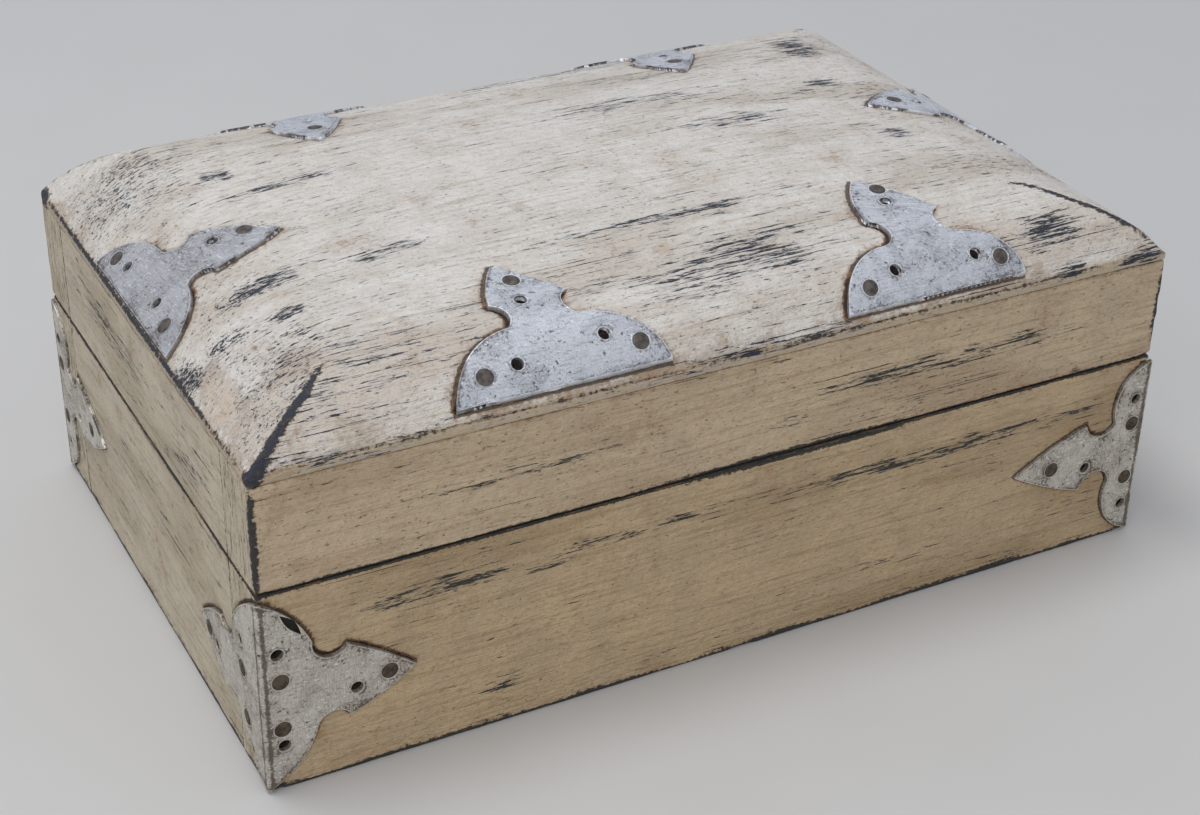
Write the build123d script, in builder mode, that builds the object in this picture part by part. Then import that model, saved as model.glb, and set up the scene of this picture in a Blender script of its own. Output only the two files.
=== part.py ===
from build123d import *
import os
from math import atan2, cos, hypot, radians, sin, sqrt
from types import SimpleNamespace

os.makedirs("parts", exist_ok=True)

# Wooden storage box with a hinged, hipped dome lid and let-in metal mounts.
# Millimetres. X runs along the box, the front faces -Y and the box stands on Z = 0.
# The origin is the centre of the bottom face.

# Overall sizes
box_width = 280.0
box_depth = 180.0
base_height = 61.5
lid_side_height = 32.0
dome_rise = 25.0

# Boards
board_thickness = 20.0
bottom_thickness = 6.0
rebate_width = 8.0
corner_rounding = 1.2
lid_gap = 0.5
panel_clearance = 0.2

# Dome: a low upright edge, a tight shoulder arc and a wide crown arc on each slope
dome_edge = 2.4
long_shoulder_radius = 25.0
long_crown_radius = 380.0
end_shoulder_radius = 60.0
end_crown_radius = 1060.0

# Sheet metal mounts
metal_thickness = 1.6
pocket_depth = 0.9
pocket_play = 0.7
bracket_centre_height = 30.3
bracket_fold_radius = 1.0
seat_rise = 0.42

# Nails that hold the mounts
nail_head_diameter = 4.7
nail_shank_diameter = 1.6
nail_length = 8.0
nail_crown = 0.3
nail_clearance = 0.05
open_hole_diameter = 3.5
open_hole_depth = 4.0

# Panel pins that hold the bottom
pin_diameter = 1.4
pin_head_diameter = 3.0
pin_head_depth = 0.8
pin_length = 16.0
long_side_pins = 4
short_side_pins = 3

# Butt hinges at the back seam
hinge_length = 38.0
hinge_spacing = 150.0
leaf_width = 14.0
leaf_thickness = 1.2
knuckle_radius = 2.5
knuckle_clearance = 0.3
middle_knuckle_length = 13.4
hinge_pin_radius = 1.2
hinge_pin_clearance = 0.05
leaf_clearance = 0.2

# Hinge screws
screw_head_diameter = 5.2
screw_shank_diameter = 2.9
screw_length = 11.0
screw_clearance = 0.05
screw_spacing = 13.0
screw_stagger = 2.0

# Levels and places that follow from the sizes above
lid_bottom = base_height + lid_gap
lid_side_top = base_height + lid_side_height
metal_proud = metal_thickness - pocket_depth
inner_width = box_width - 2 * board_thickness
inner_depth = box_depth - 2 * board_thickness
hinge_axis_y = box_depth / 2 + knuckle_radius + knuckle_clearance
hinge_axis_z = base_height + lid_gap / 2
hinge_centres = (-hinge_spacing / 2, hinge_spacing / 2)

# The mounts are handmade and differ. Each point is (out, up): up is measured away from the
# straight base, out along it, upwards on a bracket and to the right on a lid plate as seen from
# its own side. Each half has a round lobe, a round bite and a spur below the spear point; shift
# moves the bites, spurs and spear edges along the base, lean moves the tip.
middling_wing = SimpleNamespace(
    base_out=29.3, lobe=(20.0, 11.4), neck=(14.0, 14.4), bite=(8.6, 18.9), spur=(11.2, 23.9),
    edge=(7.4, 31.5), tip_up=42.5, shift=-0.8, lean=-2.0,
    nails=((4.5, 5.4), (-10.4, 5.2), (-1.7, 35.0)),
    open_holes=((13.0, 5.0), (-15.8, 5.4), (-4.0, 25.8)),
)
short_wing = SimpleNamespace(
    base_out=29.3, lobe=(20.6, 11.0), neck=(10.0, 10.8), bite=(6.4, 14.4), spur=(11.2, 22.0),
    edge=(7.6, 32.0), tip_up=47.0, shift=1.2, lean=1.0,
    nails=((9.0, 4.8), (-10.0, 4.4), (0.4, 33.6)),
    open_holes=((17.4, 4.6), (-19.6, 4.4), (-2.4, 20.8)),
)
long_wing = SimpleNamespace(
    base_out=29.3, lobe=(21.5, 13.0), neck=(13.2, 19.9), bite=(9.3, 24.3), spur=(11.4, 29.9),
    edge=(7.0, 38.5), tip_up=47.0, shift=-3.6, lean=-1.6,
    nails=((1.6, 14.0), (-13.6, 12.8), (-3.0, 40.4)),
    open_holes=((10.6, 14.0), (-22.6, 10.4), (-4.8, 34.6)),
)
front_left_plate = SimpleNamespace(
    base_out=30.7, lobe=(23.5, 12.8), neck=(9.8, 18.9), bite=(7.8, 22.6), spur=(11.0, 28.4),
    edge=(7.5, 34.8), tip_up=44.5, shift=0.2, lean=-2.8,
    nails=((-21.1, 7.0), (23.0, 6.8), (-0.6, 36.5)),
    open_holes=((-11.6, 8.4), (14.0, 10.9), (-1.9, 28.0)),
)
front_right_plate = SimpleNamespace(
    base_out=29.4, lobe=(24.0, 11.6), neck=(12.6, 17.3), bite=(8.2, 21.2), spur=(11.5, 27.9),
    edge=(8.2, 37.0), tip_up=47.7, shift=1.8, lean=-2.4,
    nails=((-20.8, 6.4), (22.4, 6.5), (2.2, 41.2)),
    open_holes=((-11.3, 9.6), (14.9, 8.9), (1.0, 35.0)),
)
left_plate = SimpleNamespace(
    base_out=30.6, lobe=(23.6, 11.4), neck=(11.8, 16.2), bite=(8.1, 19.8), spur=(11.4, 24.8),
    edge=(8.0, 34.5), tip_up=46.6, shift=1.4, lean=4.0,
    nails=((-23.4, 5.4), (19.6, 5.0), (0.0, 37.7)),
    open_holes=((-16.0, 6.4), (8.6, 6.9), (-0.9, 28.8)),
)
right_plate = SimpleNamespace(
    base_out=30.0, lobe=(23.4, 11.6), neck=(11.4, 16.6), bite=(8.0, 20.2), spur=(11.4, 26.0),
    edge=(8.0, 35.0), tip_up=46.4, shift=0.4, lean=0.0,
    nails=((-20.6, 5.8), (20.8, 6.0), (1.6, 35.2)),
    open_holes=((-12.4, 8.0), (12.8, 8.2), (0.6, 27.4)),
)
back_plate = SimpleNamespace(
    base_out=30.2, lobe=(23.4, 12.2), neck=(10.8, 18.0), bite=(7.9, 21.8), spur=(11.2, 27.6),
    edge=(7.6, 35.6), tip_up=46.0, shift=0.0, lean=2.0,
    nails=((-21.4, 6.8), (21.8, 6.6), (-0.4, 34.6)),
    open_holes=((-12.2, 9.2), (13.4, 9.8), (-1.2, 26.4)),
)


class Slope:
    """One dome slope in its own section: y is 0 at the middle of the lid, z is 0 at the lid side's top."""

    def __init__(self, half_span, shoulder_radius, crown_radius):
        self.half_span = half_span
        self.shoulder_radius = shoulder_radius
        self.crown_radius = crown_radius
        self.crown_centre = (0.0, dome_rise - crown_radius)
        foot = (-half_span, dome_edge)
        self.shoulder_centre = self.tangent_centre(foot)
        self.foot_angle = self.angle_from(self.shoulder_centre, foot)
        self.meeting_angle = self.angle_from(self.crown_centre, self.shoulder_centre)
        self.shoulder_length = shoulder_radius * (self.foot_angle - self.meeting_angle)

    def tangent_centre(self, foot):
        """Centre of the shoulder arc that starts at the foot and runs smoothly into the crown arc."""
        reach = self.crown_radius - self.shoulder_radius
        away = (foot[0] - self.crown_centre[0], foot[1] - self.crown_centre[1])
        distance = hypot(*away)
        along = (reach**2 - self.shoulder_radius**2 + distance**2) / (2 * distance)
        across = sqrt(reach**2 - along**2)
        unit = (away[0] / distance, away[1] / distance)
        return (
            self.crown_centre[0] + along * unit[0] + across * unit[1],
            self.crown_centre[1] + along * unit[1] - across * unit[0],
        )

    @staticmethod
    def angle_from(centre, point):
        return atan2(point[1] - centre[1], point[0] - centre[0])

    def on_shoulder(self, angle, lift=0.0):
        radius = self.shoulder_radius + lift
        return (self.shoulder_centre[0] + radius * cos(angle), self.shoulder_centre[1] + radius * sin(angle))

    def on_crown(self, angle, lift=0.0):
        radius = self.crown_radius + lift
        return (self.crown_centre[0] + radius * cos(angle), self.crown_centre[1] + radius * sin(angle))

    def at(self, run, lift=0.0):
        """The point a given run up the slope from its foot, lifted off the wood, and the normal's angle."""
        if run < self.shoulder_length:
            angle = self.foot_angle - run / self.shoulder_radius
            return (*self.on_shoulder(angle, lift), angle)
        angle = self.meeting_angle - (run - self.shoulder_length) / self.crown_radius
        return (*self.on_crown(angle, lift), angle)

    def draw_arcs(self, lift=0.0):
        """The shoulder and crown arcs from foot to crown, inside a BuildLine."""
        crown_angle = radians(90)
        middle = (self.foot_angle + self.meeting_angle) / 2
        upper = (self.meeting_angle + crown_angle) / 2
        meeting = self.on_shoulder(self.meeting_angle, lift)
        ThreePointArc(self.on_shoulder(self.foot_angle, lift), self.on_shoulder(middle, lift), meeting)
        ThreePointArc(meeting, self.on_crown(upper, lift), self.on_crown(crown_angle, lift))


long_slope = Slope(box_depth / 2, long_shoulder_radius, long_crown_radius)
end_slope = Slope(box_width / 2, end_shoulder_radius, end_crown_radius)


def side_frame(turn):
    """Frame at the lid side's top whose X runs along one side and Y points inwards; turn 0 is the front."""
    angle = radians(turn)
    return Plane(origin=(0, 0, lid_side_top), x_dir=(cos(angle), sin(angle), 0), z_dir=(0, 0, 1))


def section_plane(frame):
    """The upright plane through the middle of a side, square to it."""
    return Plane(origin=frame.origin, x_dir=frame.y_dir, z_dir=frame.x_dir)


def draw_mount(shape, place):
    """Outline of a mount, inside a BuildLine; place turns (out, up) into sketch points."""
    tip = place(shape.lean, shape.tip_up)
    Line(place(-shape.base_out, 0), place(shape.base_out, 0))
    for half in (-1, 1):
        neck = place(half * shape.neck[0], shape.neck[1])
        lobe = place(half * shape.lobe[0], shape.lobe[1])
        bite = place(half * shape.bite[0] + shape.shift, shape.bite[1])
        spur = place(half * shape.spur[0] + shape.shift, shape.spur[1])
        edge = place(half * shape.edge[0] + (shape.shift + shape.lean) / 2, shape.edge[1])
        ThreePointArc(place(half * shape.base_out, 0), lobe, neck)
        ThreePointArc(neck, bite, spur)
        ThreePointArc(spur, edge, tip)


def wing_frame(corner, on_side):
    """Frame on a wall at a corner: X runs away from the corner, Z outwards, the origin on the wood's corner."""
    right, back = corner
    origin = (right * box_width / 2, back * box_depth / 2, bracket_centre_height)
    if on_side:
        return Plane(origin=origin, x_dir=(0, -back, 0), z_dir=(right, 0, 0))
    return Plane(origin=origin, x_dir=(-right, 0, 0), z_dir=(0, back, 0))


def wing_spots(corner, on_side, spots):
    """Planes on the metal's outer face at the given (out, up) places of a wing."""
    frame = wing_frame(corner, on_side)
    upright = frame.y_dir.Z
    planes = []
    for out, up in spots:
        centre = frame.from_local_coords((up - metal_proud, out * upright, metal_proud))
        planes.append(Plane(origin=centre, x_dir=frame.x_dir, z_dir=frame.z_dir))
    return planes


def bracket_nails(corner):
    wall_wing, side_wing = bracket_wings[corner]
    return wing_spots(corner, False, wall_wing.nails) + wing_spots(corner, True, side_wing.nails)


def bracket_open_holes(corner):
    wall_wing, side_wing = bracket_wings[corner]
    return wing_spots(corner, False, wall_wing.open_holes) + wing_spots(corner, True, side_wing.open_holes)


def draw_wing(corner, on_side, rise=0.0):
    """Outline of one wing in its wing frame, inside a BuildLine, moved up the corner by a rise."""
    upright = wing_frame(corner, on_side).y_dir.Z
    draw_mount(bracket_wings[corner][on_side], lambda out, up: (up - metal_proud, (out + rise) * upright))


def corner_bracket(corner):
    """Folded bracket: one spear-shaped wing on each wall, nailed through countersunk holes."""
    with BuildPart() as bracket:
        for on_side in (False, True):
            frame = wing_frame(corner, on_side)
            with BuildSketch(frame.offset(-pocket_depth)):
                with BuildLine():
                    draw_wing(corner, on_side)
                make_face()
            extrude(amount=metal_thickness)
        upright_edges = bracket.edges().filter_by(Axis.Z)
        fold = upright_edges.sort_by(lambda edge: abs(edge.center().X) + abs(edge.center().Y))[-1]
        fillet(fold, bracket_fold_radius)
        with Locations(*bracket_nails(corner)):
            CounterSinkHole(
                nail_shank_diameter / 2 + nail_clearance,
                nail_head_diameter / 2 + nail_clearance,
                depth=metal_thickness,
                counter_sink_angle=90,
            )
        with Locations(*bracket_open_holes(corner)):
            Hole(open_hole_diameter / 2, depth=metal_thickness)
    return bracket.part


def bracket_pocket(corner):
    """The wood cut away under a bracket, a little larger than it and set high, as the hand-cut seats are."""
    with BuildPart() as pocket:
        for on_side in (False, True):
            frame = wing_frame(corner, on_side)
            with BuildSketch(frame.offset(-pocket_depth)):
                with BuildLine():
                    draw_wing(corner, on_side, seat_rise)
                make_face()
                offset(amount=pocket_play)
            extrude(amount=2 * metal_thickness)
    return pocket.part


class LidPlate:
    """One let-in plate on a dome slope, placed by its side, its distance along it and its run up the slope."""

    def __init__(self, shape, turn, along, run, slip):
        self.shape = shape
        self.frame = side_frame(turn)
        self.slope = long_slope if turn % 180 == 0 else end_slope
        self.along = along
        self.run = run
        self.slip = slip
        middle = self.slope.at(run + shape.neck[1])
        self.tilt = middle[2]
        self.pivot = middle[:2]

    def direction(self, angle):
        return self.frame.y_dir * cos(angle) + self.frame.z_dir * sin(angle)

    def sketch_plane(self):
        """Plane that touches the slope near the middle of the plate."""
        origin = self.frame.from_local_coords((self.along, *self.pivot))
        return Plane(origin=origin, x_dir=self.frame.x_dir, z_dir=self.direction(self.tilt))

    def place(self, out, up):
        """Where a point of the flat outline falls on the sketch plane once the plate is bent to the slope."""
        y, z, _ = self.slope.at(self.run + up)
        upslope = self.tilt - radians(90)
        return (out, (y - self.pivot[0]) * cos(upslope) + (z - self.pivot[1]) * sin(upslope))

    def spots(self, spots):
        """Planes on the metal's outer face at the given (out, up) places."""
        planes = []
        for out, up in spots:
            y, z, angle = self.slope.at(self.run + up, metal_proud)
            centre = self.frame.from_local_coords((self.along + out, y, z))
            planes.append(Plane(origin=centre, x_dir=self.frame.x_dir, z_dir=self.direction(angle)))
        return planes

    def band(self, inner, outer):
        """A strip of the slope between two lifts, as wide as the plate and more."""
        shoulder_centre = self.slope.shoulder_centre
        with BuildPart() as strip:
            for lift, mode in ((outer, Mode.ADD), (inner, Mode.SUBTRACT)):
                with BuildSketch(section_plane(self.frame)):
                    with BuildLine():
                        self.slope.draw_arcs(lift)
                        Polyline(
                            self.slope.on_crown(radians(90), lift),
                            (0, shoulder_centre[1]),
                            shoulder_centre,
                            self.slope.on_shoulder(self.slope.foot_angle, lift),
                        )
                    make_face()
                extrude(amount=box_width / 2, both=True, mode=mode)
        return strip.part

    def body(self):
        """The plate itself, bent to the slope and countersunk for its nails."""
        strip = self.band(-pocket_depth, metal_proud)
        with BuildPart() as plate:
            with BuildSketch(self.sketch_plane()):
                with BuildLine():
                    draw_mount(self.shape, self.place)
                make_face()
            extrude(amount=self.shape.tip_up / 2, both=True)
            add(strip, mode=Mode.INTERSECT)
            with Locations(*self.spots(self.shape.nails)):
                CounterSinkHole(
                    nail_shank_diameter / 2 + nail_clearance,
                    nail_head_diameter / 2 + nail_clearance,
                    depth=metal_thickness + pocket_depth,
                    counter_sink_angle=90,
                )
            with Locations(*self.spots(self.shape.open_holes)):
                Hole(open_hole_diameter / 2, depth=metal_thickness + pocket_depth)
        return plate.part

    def pocket(self):
        """The wood cut away under the plate, a little larger than it and slipped to one side."""
        strip = self.band(-pocket_depth, 2 * metal_thickness)
        with BuildPart() as pocket:
            with BuildSketch(self.sketch_plane()):
                with BuildLine():
                    draw_mount(self.shape, lambda out, up: self.place(out + self.slip, up))
                make_face()
                offset(amount=pocket_play)
            extrude(amount=self.shape.tip_up / 2, both=True)
            add(strip, mode=Mode.INTERSECT)
        return pocket.part


def nail_body():
    """Countersunk nail with a slightly crowned head; its origin is in the metal's outer face."""
    head = nail_head_diameter / 2
    shank = nail_shank_diameter / 2
    with BuildPart() as nail:
        with BuildSketch(Plane.XZ):
            with BuildLine():
                ThreePointArc((0, nail_crown), (head / 2, 0.75 * nail_crown), (head, 0))
                Polyline(
                    (head, 0), (shank, shank - head), (shank, shank * 2 - nail_length),
                    (0, -nail_length), (0, nail_crown),
                )
            make_face()
        revolve(axis=Axis.Z)
    return nail.part


def screw_body():
    """Countersunk wood screw; its origin is in the leaf's outer face."""
    head = screw_head_diameter / 2
    shank = screw_shank_diameter / 2
    with BuildPart() as screw:
        with BuildSketch(Plane.XZ):
            with BuildLine():
                Polyline(
                    (0, 0), (head, 0), (shank, shank - head), (shank, shank * 2 - screw_length),
                    (0, -screw_length), (0, 0),
                )
            make_face()
        revolve(axis=Axis.Z)
    return screw.part


def pin_body():
    """Flat-headed panel pin; its origin is in the bottom face."""
    head = pin_head_diameter / 2
    shank = pin_diameter / 2
    with BuildPart() as pin:
        with BuildSketch(Plane.XZ):
            with BuildLine():
                Polyline(
                    (0, 0), (head, 0), (head, -pin_head_depth), (shank, -pin_head_depth),
                    (shank, shank * 2 - pin_length), (0, -pin_length), (0, 0),
                )
            make_face()
        revolve(axis=Axis.Z)
    return pin.part


def fastener_group(body, planes):
    """Copies of one fastener at each plane, as separate solids."""
    with BuildPart() as group:
        with Locations(*planes):
            add(body)
    return group.part


def drill(planes, diameter, depth):
    """Round holes of one size straight into the current part at each plane."""
    with Locations(*planes):
        Hole(diameter / 2, depth=depth)


def wall_plan(along, from_edge, length, thickness):
    """Plan of one wall board, centred at from_edge along the named axis, inside a BuildSketch."""
    if along == "X":
        with Locations((0, from_edge)):
            Rectangle(length, thickness)
    else:
        with Locations((from_edge, 0)):
            Rectangle(thickness, length)


# Mounts, their seats in the wood and their nails
corners = {
    "front_left": (-1, -1),
    "front_right": (1, -1),
    "back_left": (-1, 1),
    "back_right": (1, 1),
}
bracket_wings = {
    corners["front_left"]: (middling_wing, long_wing),
    corners["front_right"]: (short_wing, long_wing),
    corners["back_left"]: (long_wing, short_wing),
    corners["back_right"]: (middling_wing, long_wing),
}
lid_plates = {
    "lid_plate_front_left": LidPlate(front_left_plate, turn=0, along=-53.9, run=3.5, slip=-0.5),
    "lid_plate_front_right": LidPlate(front_right_plate, turn=0, along=60.2, run=3.3, slip=-0.5),
    "lid_plate_right": LidPlate(right_plate, turn=90, along=2.0, run=3.0, slip=0.4),
    "lid_plate_back_right": LidPlate(back_plate, turn=180, along=-59.0, run=3.8, slip=0.4),
    "lid_plate_back_left": LidPlate(back_plate, turn=180, along=64.0, run=4.2, slip=0.4),
    "lid_plate_left": LidPlate(left_plate, turn=270, along=-3.4, run=1.5, slip=0.5),
}
bracket_seats = {name: bracket_pocket(corner) for name, corner in corners.items()}
plate_seats = [plate.pocket() for plate in lid_plates.values()]
wing_nail_planes = [plane for corner in corners.values() for plane in bracket_nails(corner)]
wing_hole_planes = [plane for corner in corners.values() for plane in bracket_open_holes(corner)]
plate_nail_planes = [plane for plate in lid_plates.values() for plane in plate.spots(plate.shape.nails)]
plate_hole_planes = [plane for plate in lid_plates.values() for plane in plate.spots(plate.shape.open_holes)]
nail_hole_diameter = nail_shank_diameter + 2 * nail_clearance
nail_hole_depth = nail_length + nail_clearance

# Panel pins, upright from below, half way across the rebate
pin_x = inner_width / 2 + rebate_width / 2
pin_y = inner_depth / 2 + rebate_width / 2
pin_places = [
    (inner_width * (index / (long_side_pins - 1) - 0.5), side * pin_y)
    for index in range(long_side_pins)
    for side in (-1, 1)
] + [
    (side * pin_x, inner_depth * 0.8 * (index / (short_side_pins - 1) - 0.5))
    for index in range(short_side_pins)
    for side in (-1, 1)
]
pin_planes = [Plane(origin=(x, y, 0), x_dir=(1, 0, 0), z_dir=(0, 0, -1)) for x, y in pin_places]

# Hinge screws: three staggered along each leaf, down into the base and up into the lid
leaf_middle_y = box_depth / 2 - leaf_width / 2
screw_places = [
    (centre + index * screw_spacing, leaf_middle_y + (screw_stagger if index == 0 else -screw_stagger / 2))
    for centre in hinge_centres
    for index in (-1, 0, 1)
]
base_screw_planes = [
    Plane(origin=(x, y, base_height), x_dir=(1, 0, 0), z_dir=(0, 0, 1)) for x, y in screw_places
]
lid_screw_planes = [
    Plane(origin=(x, y, lid_bottom), x_dir=(1, 0, 0), z_dir=(0, 0, -1)) for x, y in screw_places
]


def draw_leaf_seats():
    """Plan of the shallow seats for both hinge leaves, inside a BuildSketch."""
    for centre in hinge_centres:
        with Locations((centre, leaf_middle_y)):
            Rectangle(hinge_length + 2 * leaf_clearance, leaf_width + 2 * leaf_clearance)


def base_wall(along, side, length, seats):
    """One wall of the base: a board rebated for the bottom, with bracket seats, nail and pin holes."""
    span = box_depth if along == "X" else box_width
    middle = side * (span - board_thickness) / 2
    rebate_outer = (inner_width if along == "Y" else inner_depth) / 2 + rebate_width
    with BuildPart() as wall:
        with BuildSketch():
            wall_plan(along, middle, length, board_thickness)
        extrude(amount=base_height)
        if along == "X":
            ends = wall.edges().filter_by(Axis.Z).group_by(Axis.Y)[-1 if side > 0 else 0]
            fillet(ends, corner_rounding)
        with BuildSketch():
            Rectangle(inner_width + 2 * rebate_width, inner_depth + 2 * rebate_width)
        extrude(amount=bottom_thickness, mode=Mode.SUBTRACT)
        for seat in seats:
            add(seat, mode=Mode.SUBTRACT)
        drill(wing_nail_planes, nail_hole_diameter, nail_hole_depth)
        drill(wing_hole_planes, open_hole_diameter, open_hole_depth)
        drill(pin_planes, pin_diameter + 2 * nail_clearance, pin_length + nail_clearance)
        if along == "X" and side > 0:
            with BuildSketch(Plane.XY.offset(base_height)):
                draw_leaf_seats()
            extrude(amount=-leaf_thickness, mode=Mode.SUBTRACT)
            drill(base_screw_planes, screw_shank_diameter + 2 * screw_clearance, screw_length + screw_clearance)
    return wall.part


def lid_rail(along, side, length):
    """One rail of the lid frame; the back one is cut for the hinge leaves and their screws."""
    span = box_depth if along == "X" else box_width
    middle = side * (span - board_thickness) / 2
    with BuildPart() as rail:
        with BuildSketch(Plane.XY.offset(lid_bottom)):
            wall_plan(along, middle, length, board_thickness)
        extrude(amount=lid_side_top - lid_bottom)
        if along == "X":
            ends = rail.edges().filter_by(Axis.Z).group_by(Axis.Y)[-1 if side > 0 else 0]
            fillet(ends, corner_rounding)
        if along == "X" and side > 0:
            with BuildSketch(Plane.XY.offset(lid_bottom)):
                draw_leaf_seats()
            extrude(amount=leaf_thickness, mode=Mode.SUBTRACT)
            drill(lid_screw_planes, screw_shank_diameter + 2 * screw_clearance, screw_length + screw_clearance)
    return rail.part


def draw_dome_section(slope):
    """Full section of the dome, inside a BuildLine, from the lid side's top to the crown."""
    Polyline((0, 0), (-slope.half_span, 0), (-slope.half_span, dome_edge))
    slope.draw_arcs()
    mirror(about=Plane.YZ)


def top_board():
    """Solid board worked to a dome: two arched sections crossed, which leaves a hip at each corner."""
    with BuildPart() as board:
        with BuildSketch(section_plane(side_frame(0))):
            with BuildLine():
                draw_dome_section(long_slope)
            make_face()
        extrude(amount=box_width / 2, both=True)
        with BuildSketch(section_plane(side_frame(90))):
            with BuildLine():
                draw_dome_section(end_slope)
            make_face()
        extrude(amount=box_depth / 2, both=True, mode=Mode.INTERSECT)
        for seat in plate_seats:
            add(seat, mode=Mode.SUBTRACT)
        drill(plate_nail_planes, nail_hole_diameter, nail_hole_depth)
        drill(plate_hole_planes, open_hole_diameter, open_hole_depth)
    return board.part


def bottom_board():
    """Thin panel let into the rebate under the four walls and pinned from below."""
    with BuildPart() as panel:
        with BuildSketch():
            Rectangle(
                inner_width + 2 * (rebate_width - panel_clearance),
                inner_depth + 2 * (rebate_width - panel_clearance),
            )
        extrude(amount=bottom_thickness)
        with Locations(*pin_planes):
            CounterBoreHole(
                pin_diameter / 2 + nail_clearance,
                pin_head_diameter / 2 + nail_clearance,
                pin_head_depth,
                depth=bottom_thickness,
            )
    return panel.part


def knuckle_spans(on_lid):
    """Start and length along X of each knuckle of a leaf, from the hinge's middle."""
    gap = knuckle_clearance
    half_middle = middle_knuckle_length / 2
    if on_lid:
        return [(-half_middle, middle_knuckle_length)]
    outer_length = hinge_length / 2 - half_middle - gap
    return [(-hinge_length / 2, outer_length), (half_middle + gap, outer_length)]


def hinge_leaf(centre, on_lid):
    """One leaf: a countersunk plate with rolled knuckles on the hinge axis behind the box."""
    face = lid_bottom if on_lid else base_height
    far_face = face + leaf_thickness if on_lid else face - leaf_thickness
    low, high = min(face, far_face), max(face, far_face)
    screw_planes = lid_screw_planes if on_lid else base_screw_planes
    with BuildPart() as leaf:
        with BuildSketch(Plane.XY.offset(low)):
            with Locations((centre, leaf_middle_y)):
                Rectangle(hinge_length, leaf_width)
        extrude(amount=high - low)
        for start, length in knuckle_spans(on_lid):
            with BuildSketch(Plane.YZ.offset(centre + start)):
                with Locations((hinge_axis_y, hinge_axis_z)):
                    Circle(knuckle_radius)
                web_length = hinge_axis_y - box_depth / 2
                with Locations((hinge_axis_y - web_length / 2, (low + high) / 2)):
                    Rectangle(web_length, high - low)
                with Locations((hinge_axis_y, hinge_axis_z)):
                    Circle(hinge_pin_radius + hinge_pin_clearance, mode=Mode.SUBTRACT)
            extrude(amount=length)
        with Locations(*screw_planes):
            CounterSinkHole(
                screw_shank_diameter / 2 + screw_clearance,
                screw_head_diameter / 2 + screw_clearance,
                depth=leaf_thickness,
                counter_sink_angle=90,
            )
    return leaf.part


def hinge_pin(centre):
    """Plain pin through the three knuckles."""
    with BuildPart() as pin:
        with BuildSketch(Plane.YZ.offset(centre - hinge_length / 2)):
            with Locations((hinge_axis_y, hinge_axis_z)):
                Circle(hinge_pin_radius)
        extrude(amount=hinge_length)
        chamfer(pin.edges().filter_by(GeomType.CIRCLE), hinge_pin_radius / 4)
    return pin.part


def save(part, name):
    part.label = name
    export_step(part, f"parts/{name}.step")


# Base: four walls, the bottom and its pins
front_seats = [bracket_seats["front_left"], bracket_seats["front_right"]]
back_seats = [bracket_seats["back_left"], bracket_seats["back_right"]]
left_seats = [bracket_seats["front_left"], bracket_seats["back_left"]]
right_seats = [bracket_seats["front_right"], bracket_seats["back_right"]]
save(base_wall("X", -1, box_width, front_seats), "base_front_board")
save(base_wall("X", 1, box_width, back_seats), "base_back_board")
save(base_wall("Y", -1, inner_depth, left_seats), "base_left_board")
save(base_wall("Y", 1, inner_depth, right_seats), "base_right_board")
save(bottom_board(), "base_bottom_panel")
save(fastener_group(pin_body(), pin_planes), "bottom_panel_pins")

# Corner brackets and their nails
for corner_name, corner in corners.items():
    save(corner_bracket(corner), f"corner_bracket_{corner_name}")
save(fastener_group(nail_body(), wing_nail_planes), "bracket_nails")

# Lid: the domed board on its four rails
save(lid_rail("X", -1, box_width), "lid_front_rail")
save(lid_rail("X", 1, box_width), "lid_back_rail")
save(lid_rail("Y", -1, inner_depth), "lid_left_rail")
save(lid_rail("Y", 1, inner_depth), "lid_right_rail")
save(top_board(), "lid_top_board")

# Lid plates and their nails
for plate_name, lid_plate in lid_plates.items():
    save(lid_plate.body(), plate_name)
save(fastener_group(nail_body(), plate_nail_planes), "lid_plate_nails")

# Hinges
for hinge_name, hinge_centre in zip(("left", "right"), hinge_centres):
    save(hinge_leaf(hinge_centre, on_lid=False), f"hinge_base_leaf_{hinge_name}")
    save(hinge_leaf(hinge_centre, on_lid=True), f"hinge_lid_leaf_{hinge_name}")
    save(hinge_pin(hinge_centre), f"hinge_pin_{hinge_name}")
save(fastener_group(screw_body(), base_screw_planes), "hinge_base_screws")
save(fastener_group(screw_body(), lid_screw_planes), "hinge_lid_screws")
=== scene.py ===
from itertools import product
from math import cos, pi, radians, sin
from types import SimpleNamespace

import bmesh
import bpy
import numpy as np
from mathutils import Matrix, Vector
from mathutils.bvhtree import BVHTree
from mathutils.kdtree import KDTree


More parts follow.
